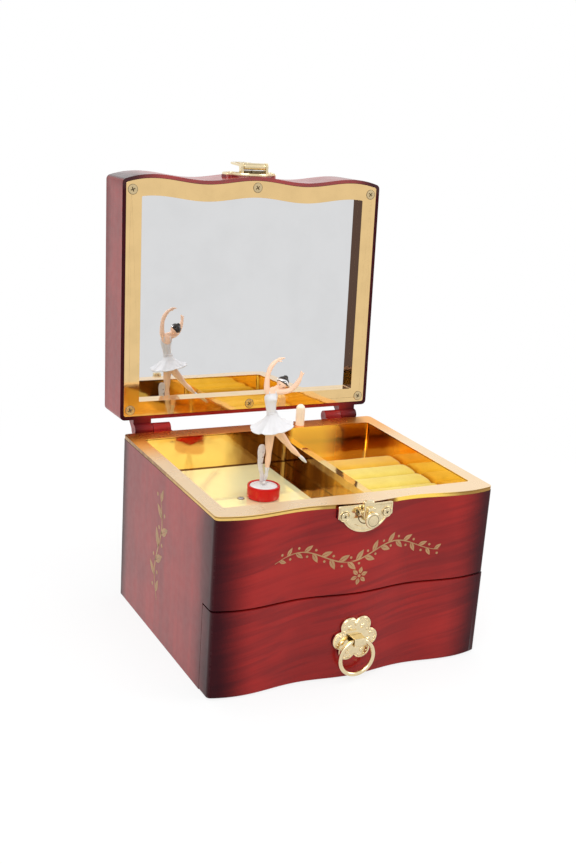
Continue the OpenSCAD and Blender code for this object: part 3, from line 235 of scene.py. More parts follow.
def addBump(tree, shader, height, strength, distance):
    bump = addNode(tree, "ShaderNodeBump", {"Height": height, "Strength": strength, "Distance": distance})
    tree.links.new(bump.outputs[0], shader.inputs["Normal"])


def linkColour(tree, shader, colour):
    tree.links.new(colour, shader.inputs["Base Color"])


def linkRoughness(tree, shader, value):
    tree.links.new(value, shader.inputs["Roughness"])


lacquer = {"bright": (0.33, 0.013, 0.010), "middle": (0.245, 0.009, 0.008), "dark": (0.085, 0.005, 0.007),
           "burnt": (0.016, 0.003, 0.006), "burntFront": 24 * mm, "burntCorner": 30 * mm, "burntSide": 12 * mm,
           "strokes": 0.34, "shineFront": 0.26, "shineSide": 0.55, "shineLid": 1.0, "burntShine": 0.35,
           "hingeReach": 8.5 * mm, "scorch": 0.92, "lidScorch": 0.35, "cloud": 0.25, "sideStrokes": 0.16,
           "ragged": 0.3, "wavedEnd": (9 * mm, 5 * mm), "sideHaze": 0.08, "orangePeel": 0.05}


def lacquerFinish(name, node, lid=False):
    # red lacquer over streaky grain, scorched dark along the outer corners
    low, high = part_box(node)
    paint, tree, shader = newFinish(name, lacquer["middle"], 0.3)
    spot = addNode(tree, "ShaderNodeTexCoord")
    facing = addNode(tree, "ShaderNodeSeparateXYZ", {0: spot.outputs["Normal"]})
    sideways = fade(tree, calc(tree, "ABSOLUTE", facing.outputs[0]), 0.6, 0.8)
    # fine grain, soft cloud and long dark strokes that rise to the right on the front
    flat = spots(tree, 1.0, 6, (14, 150, 330), 0.6, (0, 9, 0), 0.3)
    strokes = spots(tree, 1.0, 4, (11, 120, 280), 0.5, (0, 10, 0), 0.4)
    upright = spots(tree, 1.0, 3, (170, 170, 7), 0.5)
    uprightWide = spots(tree, 1.0, 2, (55, 55, 5), 0.5, (3, 0, 0))
    fine = between(tree, sideways, flat, upright)
    wide = between(tree, sideways, strokes, uprightWide)
    cloud = spots(tree, 26, 2)
    colour = blend(tree, fade(tree, fine, 0.25, 0.75), lacquer["middle"], lacquer["bright"])
    patch = calc(tree, "MULTIPLY", fade(tree, cloud, 0.62, 0.4), lacquer["cloud"])
    colour = blend(tree, patch, colour, lacquer["dark"])
    depth = between(tree, sideways, lacquer["strokes"], lacquer["sideStrokes"])
    dimmed = calc(tree, "MULTIPLY", fade(tree, wide, 0.52, 0.34), depth)
    colour = blend(tree, dimmed, colour, lacquer["dark"])
    # distance from the nearest scorched corner
    axes = addNode(tree, "ShaderNodeSeparateXYZ", {0: spot.outputs["Object"]})
    fromSide = calc(tree, "SUBTRACT", high.x, calc(tree, "ABSOLUTE", axes.outputs[0]))
    if lid:
        fromBack = calc(tree, "SUBTRACT", high.y, axes.outputs[1])
        fromFront = calc(tree, "SUBTRACT", high.z, axes.outputs[2])
    else:
        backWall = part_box("case_shell")[1].y - lacquer["hingeReach"]
        fromBack = calc(tree, "SUBTRACT", backWall, axes.outputs[1])
        fromFront = calc(tree, "SUBTRACT", axes.outputs[1], low.y)
    corner = lacquer["burntSide"] if lid else lacquer["burntCorner"]
    fromEnd = calc(tree, "MINIMUM", calc(tree, "DIVIDE", fromBack, lacquer["burntSide"]),
                   calc(tree, "DIVIDE", fromFront, corner))
    away = between(tree, sideways, calc(tree, "DIVIDE", fromSide, lacquer["burntFront"]), fromEnd)
    ragged = calc(tree, "MULTIPLY", calc(tree, "SUBTRACT", cloud, 0.5), lacquer["ragged"])
    away = calc(tree, "ADD", away, ragged)
    scorch = calc(tree, "MULTIPLY", fade(tree, away, 1.0, 0.1), calc(tree, "GREATER_THAN", fromBack, -0.5 * mm))
    strength = between(tree, sideways, lacquer["scorch"], lacquer["lidScorch"]) if lid else lacquer["scorch"]
    colour = blend(tree, calc(tree, "MULTIPLY", scorch, strength), colour, lacquer["burnt"])
    linkColour(tree, shader, colour)
    shine = lacquer["shineFront"]
    if lid:  # the waved end of the lid catches the light
        shine = between(tree, fade(tree, fromFront, *lacquer["wavedEnd"]), shine, lacquer["shineLid"])
    shine = between(tree, sideways, shine, lacquer["shineSide"])
    shine = calc(tree, "MULTIPLY", shine, between(tree, scorch, 1.0, lacquer["burntShine"]))
    tree.links.new(shine, shader.inputs["Specular IOR Level"])
    rough = fade(tree, spots(tree, 240, 3), 0.3, 0.7, 0.2, 0.26)
    rough = calc(tree, "ADD", rough, calc(tree, "MULTIPLY", sideways, lacquer["sideHaze"]))
    linkRoughness(tree, shader, rough)
    swell = calc(tree, "ADD", spots(tree, 60, 2), calc(tree, "MULTIPLY", fine, 0.2))
    addBump(tree, shader, swell, lacquer["orangePeel"], 0.4 * mm)
    return paint


gold = {"wall": (1.0, 0.66, 0.20), "face": (1.0, 0.70, 0.33), "rim": (0.98, 0.74, 0.47),
        "rimBack": (0.98, 0.44, 0.07), "rimReflectionTurns": (10 * mm, 56 * mm), "rimHaze": (0.26, 0.30),
        "shade": (0.20, 0.07, 0.015), "edgeShade": (0.11, 0.05, 0.025), "nearDivider": (-26 * mm, -8 * mm),
        "nearEnd": (38 * mm, 58 * mm), "alongDivider": (-40 * mm, 12 * mm),
        "shadeLineTop": (0.2 * mm, 0.4 * mm), "shadeLineFoot": (0.85 * mm, 0.65 * mm),
        "patch": (1.0, 0.66, 0.10), "patchLeft": (16 * mm, 20 * mm), "patchRight": (56 * mm, 36 * mm),
        "patchMetal": 0.35}


def goldShades(tree, node):
    # painted shade and painted dark reflection: amounts of deep brown for the moulding's walls and inner edges,
    # and for a painted shadow line under the rim outside
    low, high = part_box(node)
    spot = addNode(tree, "ShaderNodeTexCoord")
    face = addNode(tree, "ShaderNodeSeparateXYZ", {0: spot.outputs["Normal"]})
    place = addNode(tree, "ShaderNodeSeparateXYZ", {0: spot.outputs["Object"]})
    inside = calc(tree, "LESS_THAN", calc(tree, "ABSOLUTE", place.outputs[0]), high.x - 3.5 * mm)
    if node == "lid_frame":  # the opening's upright edges
        # painted shade on the opening's upright edges
        upright = calc(tree, "GREATER_THAN", calc(tree, "ABSOLUTE", face.outputs[0]), 0.6)
        return calc(tree, "MULTIPLY", upright, inside)
    soft = calc(tree, "MULTIPLY", calc(tree, "SUBTRACT", spots(tree, 45, 4, (1, 1, 0.4)), 0.5), 30 * mm)
    x = calc(tree, "ADD", place.outputs[0], soft)
    y = calc(tree, "ADD", place.outputs[1], soft)
    back = fade(tree, face.outputs[1], -0.6, -0.9)
    left = fade(tree, face.outputs[0], -0.6, -0.9)
    divider = calc(tree, "LESS_THAN", place.outputs[0], 0.3 * high.x)
    nearDivider = calc(tree, "MULTIPLY", fade(tree, x, *gold["nearDivider"]), divider)
    nearEnd = calc(tree, "MULTIPLY", fade(tree, x, *gold["nearEnd"]), 0.75)
    onBack = calc(tree, "MULTIPLY", back, calc(tree, "MAXIMUM", nearDivider, nearEnd))
    streak = spots(tree, 1.0, 3, (300, 300, 16), 0.6)
    onDivider = calc(tree, "MULTIPLY", calc(tree, "MULTIPLY", left, divider),
                     fade(tree, y, *gold["alongDivider"], 0.35, 1.0))
    onDivider = calc(tree, "MULTIPLY", onDivider, fade(tree, streak, 0.3, 0.6, 0.7, 1.0))
    walls = calc(tree, "MULTIPLY", calc(tree, "MAXIMUM", onBack, onDivider), 0.9)
    # painted shadow: thin dark line under the rim's top edge, all round the outside
    depth = calc(tree, "SUBTRACT", high.z, place.outputs[2])
    shadeLine = calc(tree, "MULTIPLY", fade(tree, depth, *gold["shadeLineTop"]), fade(tree, depth, *gold["shadeLineFoot"]))
    shadeLine = calc(tree, "MULTIPLY", shadeLine, calc(tree, "LESS_THAN", calc(tree, "ABSOLUTE", face.outputs[2]), 0.5))
    return calc(tree, "MAXIMUM", walls, calc(tree, "MULTIPLY", shadeLine, 0.85))


def goldFinish(name, node, colour, roughness, ripple=0.05, satinAbove=None):
    # bright metallised moulding, its walls a little wavy, its flat rim satin
    paint, tree, shader = newFinish(name, colour, roughness, 1.0)
    wave = spots(tree, 70, 2, distortion=0.3)
    grain = spots(tree, 1600, 2)
    streak = spots(tree, 1.0, 3, (25, 25, 400))
    height = calc(tree, "ADD", wave, calc(tree, "MULTIPLY", streak, 0.12))
    tone = blend(tree, fade(tree, spots(tree, 120, 4), 0.3, 0.75), colour, [c * 0.93 for c in colour])
    # painted shade and painted dark reflection, in the amounts goldShades gives
    tone = blend(tree, goldShades(tree, node), tone, gold["shade"] if satinAbove else gold["edgeShade"])
    rough = fade(tree, grain, 0.3, 0.7, roughness * 0.8, roughness * 1.3)
    if satinAbove is not None:
        spot = addNode(tree, "ShaderNodeTexCoord")
        facing = addNode(tree, "ShaderNodeSeparateXYZ", {0: spot.outputs["Normal"]})
        place = addNode(tree, "ShaderNodeSeparateXYZ", {0: spot.outputs["Object"]})
        top = calc(tree, "GREATER_THAN", place.outputs[2], satinAbove)
        satin = calc(tree, "MULTIPLY", fade(tree, facing.outputs[2], 0.9, 0.98), top)
        # painted reflection: the satin rim is painted peach at the front, turning orange towards the back
        rim = blend(tree, fade(tree, place.outputs[1], *gold["rimReflectionTurns"]), gold["rim"], gold["rimBack"])
        tone = blend(tree, satin, tone, rim)
        rough = between(tree, satin, rough, fade(tree, wave, 0.3, 0.7, *gold["rimHaze"]))
        height = calc(tree, "MULTIPLY", height, between(tree, satin, 1.0, 0.15))
        # satin patch of the back wall, over the rings
        back = fade(tree, facing.outputs[1], -0.6, -0.9)
        patch = calc(tree, "MULTIPLY", fade(tree, place.outputs[0], *gold["patchLeft"]),
                     fade(tree, place.outputs[0], *gold["patchRight"]))
        patch = calc(tree, "MULTIPLY", patch, back)
        tone = blend(tree, patch, tone, gold["patch"])
        tree.links.new(between(tree, patch, 1.0, gold["patchMetal"]), shader.inputs["Metallic"])
    linkColour(tree, shader, tone)
    linkRoughness(tree, shader, rough)
    addBump(tree, shader, height, ripple, 1.5 * mm)
    return paint


def mirrorFinish(name, colour, roughness):
    # silvered or gilt plate with a breath of haze
    paint, tree, shader = newFinish(name, colour, roughness, 1.0)
    haze = spots(tree, 60, 4)
    linkColour(tree, shader, blend(tree, fade(tree, haze, 0.35, 0.8), colour, [c * 0.965 for c in colour]))
    linkRoughness(tree, shader, fade(tree, spots(tree, 300, 2), 0.4, 0.8, roughness, roughness * 2.2))
    return paint


# the line colour below is a painted shadow along the plate's back edge
floorLook = {"colour": (1.0, 0.97, 0.58), "polish": 0.40, "polishedEdge": 12.5 * mm,
             "shadeLine": (0.16, 0.06, 0.012), "shadeLineWide": 1.6 * mm}


def floorFinish(name, node):
    # pale gilt plate, only partly metal so that its pale yellow stands in as a painted reflection of the bright
    # lid mirror, and mirror bright along its right edge
    paint = mirrorFinish(name, floorLook["colour"], 0.03)
    tree = paint.node_tree
    shader = tree.nodes["Principled BSDF"]
    place = addNode(tree, "ShaderNodeTexCoord").outputs["Object"]
    x, y = addNode(tree, "ShaderNodeSeparateXYZ", {0: place}).outputs[:2]
    low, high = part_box(node)
    edge = high.x - floorLook["polishedEdge"]
    # painted reflection: away from its right edge the plate shows its pale yellow as a matt colour
    bright = fade(tree, x, edge - 0.3 * mm, edge + 0.3 * mm, floorLook["polish"], 1.0)
    tree.links.new(bright, shader.inputs["Metallic"])
    # painted shadow: brown line where the plate's back edge dips under the moulding
    fromBack = calc(tree, "SUBTRACT", high.y, y)
    shadeLine = fade(tree, fromBack, floorLook["shadeLineWide"], 0.6 * floorLook["shadeLineWide"])
    tone = shader.inputs["Base Color"].links[0].from_socket
    linkColour(tree, shader, blend(tree, shadeLine, tone, floorLook["shadeLine"]))
    return paint


def metalFinish(name, colour, roughness, wear=0.12, dent=0.08, scratches=(900, 4200, 900)):
    # plated or plain metal with faint scratches and a slightly uneven tone
    paint, tree, shader = newFinish(name, colour, roughness, 1.0)
    tarnish = spots(tree, 420, 5, rough=0.65)
    tone = blend(tree, fade(tree, tarnish, 0.38, 0.72), colour, [c * (1 - wear) for c in colour])
    scratch = spots(tree, 1.0, 4, scratches, 0.6, (12, 25, 40))
    linkColour(tree, shader, tone)
    linkRoughness(tree, shader, fade(tree, scratch, 0.3, 0.75, roughness * 0.7, roughness * 1.5))
    addBump(tree, shader, calc(tree, "ADD", scratch, tarnish), dent, 0.05 * mm)
    return paint


def plasticFinish(name, colour, roughness, mottle=0.06, grainScale=700, **extra):
    # moulded plastic with a faint mottle and a fine skin
    paint, tree, shader = newFinish(name, colour, roughness, 0.0, **extra)
    cloud = spots(tree, 160, 4)
    deeper = [c * (1 - mottle) for c in colour]
    linkColour(tree, shader, blend(tree, fade(tree, cloud, 0.3, 0.75), colour, deeper))
    grain = spots(tree, grainScale, 3)
    linkRoughness(tree, shader, fade(tree, grain, 0.3, 0.7, roughness * 0.85, roughness * 1.2))
    addBump(tree, shader, grain, 0.12, 0.06 * mm)
    return paint


def plushFinish(name, colour, deep):
    # short pile: tufts of lighter and deeper colour, soft edge light
    paint, tree, shader = newFinish(name, colour, 0.92, 0.0)
    shader.inputs["Sheen Weight"].default_value = 0.25
    shader.inputs["Sheen Roughness"].default_value = 0.5
    tuft = spots(tree, 1900, 4, rough=0.7)
    nap = spots(tree, 130, 3)
    amount = calc(tree, "ADD", calc(tree, "MULTIPLY", tuft, 0.6), calc(tree, "MULTIPLY", nap, 0.4))
    linkColour(tree, shader, blend(tree, fade(tree, amount, 0.3, 0.66), deep, colour))
    addBump(tree, shader, amount, 0.5, 0.3 * mm)
    return paint


def boardFinish(name, colour, dark, stretch):
    # plain unfinished board
    paint, tree, shader = newFinish(name, colour, 0.7)
    grain = spots(tree, 1.0, 5, stretch, 0.65, (0, 4, 3), 0.3)
    linkColour(tree, shader, blend(tree, fade(tree, grain, 0.35, 0.7), dark, colour))
    linkRoughness(tree, shader, fade(tree, grain, 0.3, 0.7, 0.62, 0.8))
    addBump(tree, shader, grain, 0.25, 0.15 * mm)
    return paint


def clearFinish(name, colour):
    # frosted clear moulding, thinnest in patches
    paint, tree, shader = newFinish(name, colour, 0.3)
    cloud = spots(tree, 260, 3)
    linkColour(tree, shader, blend(tree, fade(tree, cloud, 0.3, 0.7), colour, [c * 0.93 for c in colour]))
    linkRoughness(tree, shader, fade(tree, spots(tree, 900, 2), 0.3, 0.7, 0.22, 0.35))
    tree.links.new(fade(tree, cloud, 0.3, 0.7, 0.66, 0.82), shader.inputs["Alpha"])
    return paint


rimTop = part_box("gold_tray")[1].z

finish = {
    "caseLacquer": lacquerFinish("caseLacquer", "case_shell"),
    "lidLacquer": lacquerFinish("lidLacquer", "lid_shell", True),
    "drawerLacquer": lacquerFinish("drawerLacquer", "drawer_front"),
    "trayGold": goldFinish("trayGold", "gold_tray", gold["wall"], 0.07, 0.10, rimTop - 2 * mm),
    "frameGold": goldFinish("frameGold", "lid_frame", gold["face"], 0.05, 0.03),
    "floorGlass": floorFinish("floorGlass", "floor_mirror"),
    "lidGlass": mirrorFinish("lidGlass", (0.885, 0.89, 0.90), 0.012),
    "paleBrass": metalFinish("paleBrass", (0.90, 0.75, 0.47), 0.15, 0.12, 0.08),
    # painted shade: dark brass laid where screw recesses, the catch and the space under the hasp's pin are in
    # shade
    "shadedBrass": metalFinish("shadedBrass", (0.20, 0.15, 0.09), 0.35, 0.3, 0.2),
    "goldPrint": plasticFinish("goldPrint", (0.42, 0.24, 0.10), 0.42, 0.25, 2600),
    "goldScrew": metalFinish("goldScrew", (0.74, 0.58, 0.33), 0.24),
    "plainSteel": metalFinish("plainSteel", (0.62, 0.62, 0.63), 0.28),
    "blackFerrite": plasticFinish("blackFerrite", (0.045, 0.045, 0.05), 0.5, 0.2),
    "turnedBrass": metalFinish("turnedBrass", (0.86, 0.66, 0.30), 0.24),
    "hingeRed": plasticFinish("hingeRed", (0.20, 0.011, 0.010), 0.3, 0.2),
    "castZinc": metalFinish("castZinc", (0.55, 0.55, 0.54), 0.42, 0.2),
    "whiteNylon": plasticFinish("whiteNylon", (0.86, 0.85, 0.80), 0.42),
    "creamPlastic": plasticFinish("creamPlastic", (0.93, 0.80, 0.66), 0.35),
    "redPlastic": plasticFinish("redPlastic", (0.54, 0.006, 0.008), 0.12, 0.08, **{"Specular IOR Level": 0.22}),
    "whitePlastic": plasticFinish("whitePlastic", (0.74, 0.73, 0.74), 0.3),
    "skirtPlastic": plasticFinish("skirtPlastic", (0.70, 0.695, 0.71), 0.5, 0.04),
    "skinPlastic": plasticFinish("skinPlastic", (0.90, 0.60, 0.43), 0.45, 0.05),
    "hairPaint": plasticFinish("hairPaint", (0.018, 0.012, 0.010), 0.35, 0.3, 1400),
    "lipPaint": plasticFinish("lipPaint", (0.62, 0.10, 0.10), 0.4),
    "featherSilver": metalFinish("featherSilver", (0.86, 0.86, 0.88), 0.3, 0.15, 0.3),
    "clearStrip": clearFinish("clearStrip", (0.80, 0.76, 0.80)),
    "rollPlush": plushFinish("rollPlush", (0.70, 0.55, 0.105), (0.62, 0.45, 0.06)),
    # painted shade: the rear roll's plush is painted a deeper amber where it lies in shade
    "rollPlushDeep": plushFinish("rollPlushDeep", (0.68, 0.38, 0.022), (0.60, 0.30, 0.015)),
    "liningPlush": plushFinish("liningPlush", (0.92, 0.72, 0.16), (0.74, 0.50, 0.06)),
    "greyCard": boardFinish("greyCard", (0.52, 0.46, 0.38), (0.42, 0.36, 0.29), (300, 300, 300)),
    "plainBoard": boardFinish("plainBoard", (0.40, 0.25, 0.14), (0.27, 0.15, 0.08), (8, 150, 150)),
}
print("finishes mixed:", len(finish))

# nodes whose own shape stays

dressing = {  # finish, softened edge in mm, and the nodes that take them
    "caseLacquer": (0.35, ["case_shell"]),
    "lidLacquer": (0.35, ["lid_shell"]),
    "drawerLacquer": (0.45, ["drawer_front"]),
    "trayGold": (0.3, ["gold_tray"]),
    "frameGold": (0.25, ["lid_frame"]),
    "floorGlass": (0.2, ["floor_mirror"]),
    "lidGlass": (0.0, ["lid_mirror"]),
    "greyCard": (0.0, ["mirror_pad"]),
    "plainBoard": (0.2, ["base_panel", "bay_divider", "drawer_tray"]),
    "hingeRed": (0.0, ["hinge_pins"]),
    "plainSteel": (0.0, ["hasp_pin", "stop_wire", "comb", "cylinder_arbor", "mainspring",
                         "winding_arbor", "takeoff_shaft"]),
    "creamPlastic": (0.0, ["stop_plunger"]),
    "whitePlastic": (0.0, ["foot_pivot"]),
    "blackFerrite": (0.2, ["dancer_magnet", "rotor_magnet"]),
    "castZinc": (0.15, ["bedplate", "gear_bridge", "spring_housing"]),
    "turnedBrass": (0.0, ["pinned_cylinder", "cylinder_pinion", "cylinder_wheel", "great_wheel"]),
    "whiteNylon": (0.0, ["governor_wheel", "fly", "drive_gear", "rotor_gear"]),
    "paleBrass": (0.12, ["pull_ring", "pull_pins", "pull_staple", "winding_key"]),
}


def softenEdges(item, width):
    weld = item.modifiers.new("weld", "WELD")
    weld.merge_threshold = 0.002 * mm
    bevel = item.modifiers.new("softEdge", "BEVEL")
    bevel.width = width * mm
    bevel.segments = 3
    bevel.limit_method = "ANGLE"
    bevel.angle_limit = math.radians(50)
    bevel.use_clamp_overlap = True
    bevel.harden_normals = True
    bevel.miter_outer = "MITER_ARC"


for finishName, (edge, names) in dressing.items():
    for name in names:
        item = nodes[name]
        item.data.materials.clear()
        item.data.materials.append(finish[finishName])
        if edge:
            softenEdges(item, edge)
print("nodes dressed")

# mesh helpers, all in millimetres


def faceOutwards(mesh):
    work = bmesh.new()
    work.from_mesh(mesh)
    bmesh.ops.recalc_face_normals(work, faces=work.faces)
    work.to_mesh(mesh)
    work.free()


def makePiece(name, verts, faces, finishName, body, slot, soft=True):
    # one named piece that rides a body
    mesh = bpy.data.meshes.new(name)
    mesh.from_pydata([Vector(v) * mm for v in verts], [], faces)
    faceOutwards(mesh)
    if soft:
        mesh.shade_smooth()
    mesh.materials.append(finish[finishName])
    item = bpy.data.objects.new(name, mesh)
    bpy.context.scene.collection.objects.link(item)
    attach(item, body)
    return item


def applyAll(item):
    # the piece's mesh with its modifiers worked into it
    graph = bpy.context.evaluated_depsgraph_get()
    mesh = bpy.data.meshes.new_from_object(item.evaluated_get(graph))
    item.modifiers.clear()
    item.data = mesh


def sharpen(item, angle=35):
    # smooth shading that keeps the edges of rigid pieces crisp
    item.data.shade_smooth()
    item.data.set_sharp_from_angle(angle=math.radians(angle))


def around(count):
    # angles evenly spaced round a circle
    return [2 * math.pi * k / count for k in range(count)]


def circle(radius, count, height=0.0):
    return [(radius * math.cos(a), radius * math.sin(a), height) for a in around(count)]


def curved(points, steps):
    # smooth path through the points, which may carry sizes as further numbers
    path = []
    for i in range(len(points) - 1):
        a = points[max(i - 1, 0)]
        b = points[i]
        c = points[i + 1]
        d = points[min(i + 2, len(points) - 1)]
        for k in range(steps):
            t = k / steps
            path.append([0.5 * (2 * q + (r - p) * t + (2 * p - 5 * q + 4 * r - s) * t * t
                                + (3 * q - p - 3 * r + s) * t ** 3) for p, q, r, s in zip(a, b, c, d)])
    path.append(list(points[-1]))
    return path


def skin(rings, closed=False):
    # faces over rings of equal size, with caps at both ends unless the rings close
    n = len(rings[0])
    verts = [v for ring in rings for v in ring]
    faces = []
    last = len(rings) if closed else len(rings) - 1
    for i in range(last):
        a, b = i * n, ((i + 1) % len(rings)) * n
        faces += [(a + k, a + (k + 1) % n, b + (k + 1) % n, b + k) for k in range(n)]
    if not closed:
        faces.append(tuple(range(n - 1, -1, -1)))
        faces.append(tuple(range((len(rings) - 1) * n, len(rings) * n)))
    return verts, faces


def limb(points, sides=20, steps=5, across=(0, 1, 0)):
    # rounded limb along points of (x, y, z, width, depth), its depth measured towards across
    path = curved([p if len(p) == 5 else (*p, p[3]) for p in points], steps)
    rings = []
    for i, p in enumerate(path):
        before, after = path[max(i - 1, 0)], path[min(i + 1, len(path) - 1)]
        along = (Vector(after[:3]) - Vector(before[:3])).normalized()
        deep = (Vector(across) - along * Vector(across).dot(along)).normalized()
        wide = deep.cross(along)
        middle = Vector(p[:3])
        rings.append((middle, wide, deep, along, p[3], p[4]))

    def ring(middle, wide, deep, w, d):
        return [middle + wide * w * math.cos(a) + deep * d * math.sin(a) for a in around(sides)]

    def rounding(share, end, way):
        middle, wide, deep, along, w, d = end
        drop = along * w * math.sqrt(1 - share ** 2) * way
        return ring(middle + drop, wide, deep, w * share, d * share)

    shares = (0.35, 0.75, 0.95)  # of the limb's thickness, for its rounded ends
    start = [rounding(share, rings[0], -1) for share in shares]
    end = [rounding(share, rings[-1], 1) for share in reversed(shares)]
    return skin(start + [ring(m, wide, deep, w, d) for m, wide, deep, along, w, d in rings] + end)


def wire(path, radius, sides=10, closed=False):
    # round wire along a path of plain points
    points = [Vector(p) for p in path]
    count = len(points)
    rings = []
    deep = None
    for i, p in enumerate(points):
        before = points[i - 1] if closed or i else points[i]
        after = points[(i + 1) % count] if closed or i < count - 1 else points[i]
        along = (after - before).normalized()
        if deep is None:
            deep = along.orthogonal().normalized()
        deep = (deep - along * deep.dot(along)).normalized()
        wide = deep.cross(along)
        rings.append([p + (wide * math.cos(a) + deep * math.sin(a)) * radius for a in around(sides)])
    return skin(rings, closed)


def turned(profile, sides=48, wobble=None):
    # shape turned about Z from (radius, height) points, from its lower middle to its upper middle
    verts, faces = [], []
    rows = []
    for r, h in profile:
        if r < 1e-6:
            rows.append([len(verts)])
            verts.append(Vector((0, 0, h)))
            continue
        rows.append(list(range(len(verts), len(verts) + sides)))
        for a in around(sides):
            dr, dh = wobble(a, r, h) if wobble else (0, 0)
            verts.append(Vector(((r + dr) * math.cos(a), (r + dr) * math.sin(a), h + dh)))
    for low, high in zip(rows, rows[1:]):
        for k in range(sides):
            a, b = low[k % len(low)], low[(k + 1) % len(low)]
            c, d = high[(k + 1) % len(high)], high[k % len(high)]
            face = [v for i, v in enumerate((a, b, c, d)) if v not in (a, b, c, d)[:i]]
            if len(face) > 2:
                faces.append(tuple(face))
    return verts, faces


def joined(*parts):
    # several (verts, faces) pairs as one
    verts, faces = [], []
    for someVerts, someFaces in parts:
        start = len(verts)
        verts += list(someVerts)
        faces += [tuple(i + start for i in face) for face in someFaces]
    return verts, faces


def moved(part, place):
    verts, faces = part
    return [place @ Vector(v) for v in verts], faces


def at(x, y, z):
    return Matrix.Translation((x, y, z))


def toward(x, y, z, direction):
    # moves a shape built up along Z so that it starts at a place and points in a direction
    return at(x, y, z) @ Vector(direction).to_track_quat("Z", "Y").to_matrix().to_4x4()


def roundBox(x0, x1, y0, y1, z0, z1, r=0.2):
    # box with its corners and edges rounded off
    work = bmesh.new()
    bmesh.ops.create_cube(work, size=1)
    for v in work.verts:
        v.co = Vector(((x0 + x1) / 2 + v.co.x * (x1 - x0), (y0 + y1) / 2 + v.co.y * (y1 - y0),
                       (z0 + z1) / 2 + v.co.z * (z1 - z0)))
    bmesh.ops.bevel(work, geom=list(work.edges), offset=r, segments=3, profile=0.5, affect="EDGES")
    verts = [v.co.copy() for v in work.verts]
    work.verts.index_update()
    faces = [tuple(v.index for v in f.verts) for f in work.faces]
    work.free()
    return verts, faces


def ball(radii, columns=32, rows=20):
    # closed ellipsoid about the origin
    heights = [-math.pi / 2 + math.pi * i / rows for i in range(rows + 1)]
    profile = [(math.cos(a), math.sin(a)) for a in heights]
    profile[0], profile[-1] = (0, -1), (0, 1)
    verts, faces = turned(profile, columns)
    return [Vector((v.x * radii[0], v.y * radii[1], v.z * radii[2])) for v in verts], faces


def stamped(outlines, thickness, edge=0.2):
    # flat sheet cut to outlines, the first one its edge and the others holes, with rolled edges
    data = bpy.data.curves.new("blank", "CURVE")
    data.dimensions = "2D"
    data.fill_mode = "BOTH"
    data.extrude = thickness / 2 - edge
    data.bevel_depth = edge
    data.bevel_resolution = 2
    data.offset = -edge
    for outline in outlines:
        line = data.splines.new("POLY")
        line.points.add(len(outline) - 1)
        for point, (x, y) in zip(line.points, outline):
            point.co = (x, y, 0, 1)
        line.use_cyclic_u = True
    item = bpy.data.objects.new("blank", data)
    bpy.context.scene.collection.objects.link(item)
    graph = bpy.context.evaluated_depsgraph_get()
    mesh = bpy.data.meshes.new_from_object(item.evaluated_get(graph))
    work = bmesh.new()
    work.from_mesh(mesh)
    bmesh.ops.remove_doubles(work, verts=work.verts, dist=0.0005)
    work.verts.index_update()
    verts = [v.co.copy() for v in work.verts]
    faces = [tuple(v.index for v in f.verts) for f in work.faces]
    work.free()
    bpy.data.objects.remove(item)
    bpy.data.meshes.remove(mesh)
    bpy.data.curves.remove(data)
    return verts, faces


def arc(cx, cy, r, start, end, n=12):
    turns = [math.radians(start + (end - start) * i / n) for i in range(n + 1)]
    return [(cx + r * math.cos(a), cy + r * math.sin(a)) for a in turns]


def dot(x, y, r, n=14):
    # round outline
    return [(x + r * math.cos(a), y + r * math.sin(a)) for a in around(n)]


def inset(outline, distance):
    # outline moved inwards, for the raised rims of stamped plates
    out = []
    n = len(outline)
    area = sum(outline[i - 1][0] * outline[i][1] - outline[i][0] * outline[i - 1][1] for i in range(n))
    side = 1 if area > 0 else -1
    for i in range(n):
        (ax, ay), (bx, by) = outline[i - 1], outline[(i + 1) % n]
        dx, dy = bx - ax, by - ay
        size = math.hypot(dx, dy) or 1
        out.append((outline[i][0] - dy / size * distance * side, outline[i][1] + dx / size * distance * side))
    return out


# the lid's pieces are built for the closed lid and turned open with it

hinge = Vector(joints["lid_hinge"]["pos_m"]) / mm
lidOpen = math.radians(joints["lid_hinge"]["range_deg"][1])
openLid = at(*hinge) @ Matrix.Rotation(-lidOpen, 4, "X") @ at(*-hinge)
# a flat sheet stood up, facing front
standing = Matrix(((1, 0, 0, 0), (0, 0, -1, 0), (0, 1, 0, 0), (0, 0, 0, 1)))


def boxMm(node):
    # lowest and highest corner of a node, in millimetres
    low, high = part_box(node)
    return low / mm, high / mm


# screws: every head found in its node, remade with a domed head and a pressed cross

# two of these size the painted shade: the height of the dark fill in the cross and the wire of the dark ring
# round the head
screwLook = {"dome": 0.42, "crossWidth": 0.20, "crossReach": 0.62, "crossDepth": 0.8, "crossTurn": 22,
             "edge": 0.05, "paintedShade": 0.78, "ring": 0.13, "twist": 1.7}

screwNodes = {  # finish, slot, body, and the way the heads face; the lid's face the way they do when it is shut
    "base_screws": ("plainSteel", "steel", "case", (0, 0, -1)),
    "mirror_screw": ("plainSteel", "steel", "case", (0, 0, 1)),
    "catch_screws": ("paleBrass", "pale_brass", "case", (0, -1, 0)),
    "movement_screws": ("plainSteel", "steel", "case", (0, -1, 0)),
    "comb_screws": ("plainSteel", "steel", "case", (0, -1, 0)),
    "bridge_screws": ("plainSteel", "steel", "case", (0, 0, -1)),
    "drawer_screws": ("plainSteel", "steel", "drawer", (0, 1, 0)),
    "frame_screws": ("goldScrew", "gold_screws", "lid", (0, 0, -1)),
    "hasp_screws": ("paleBrass", "pale_brass", "lid", (0, -1, 0)),
}


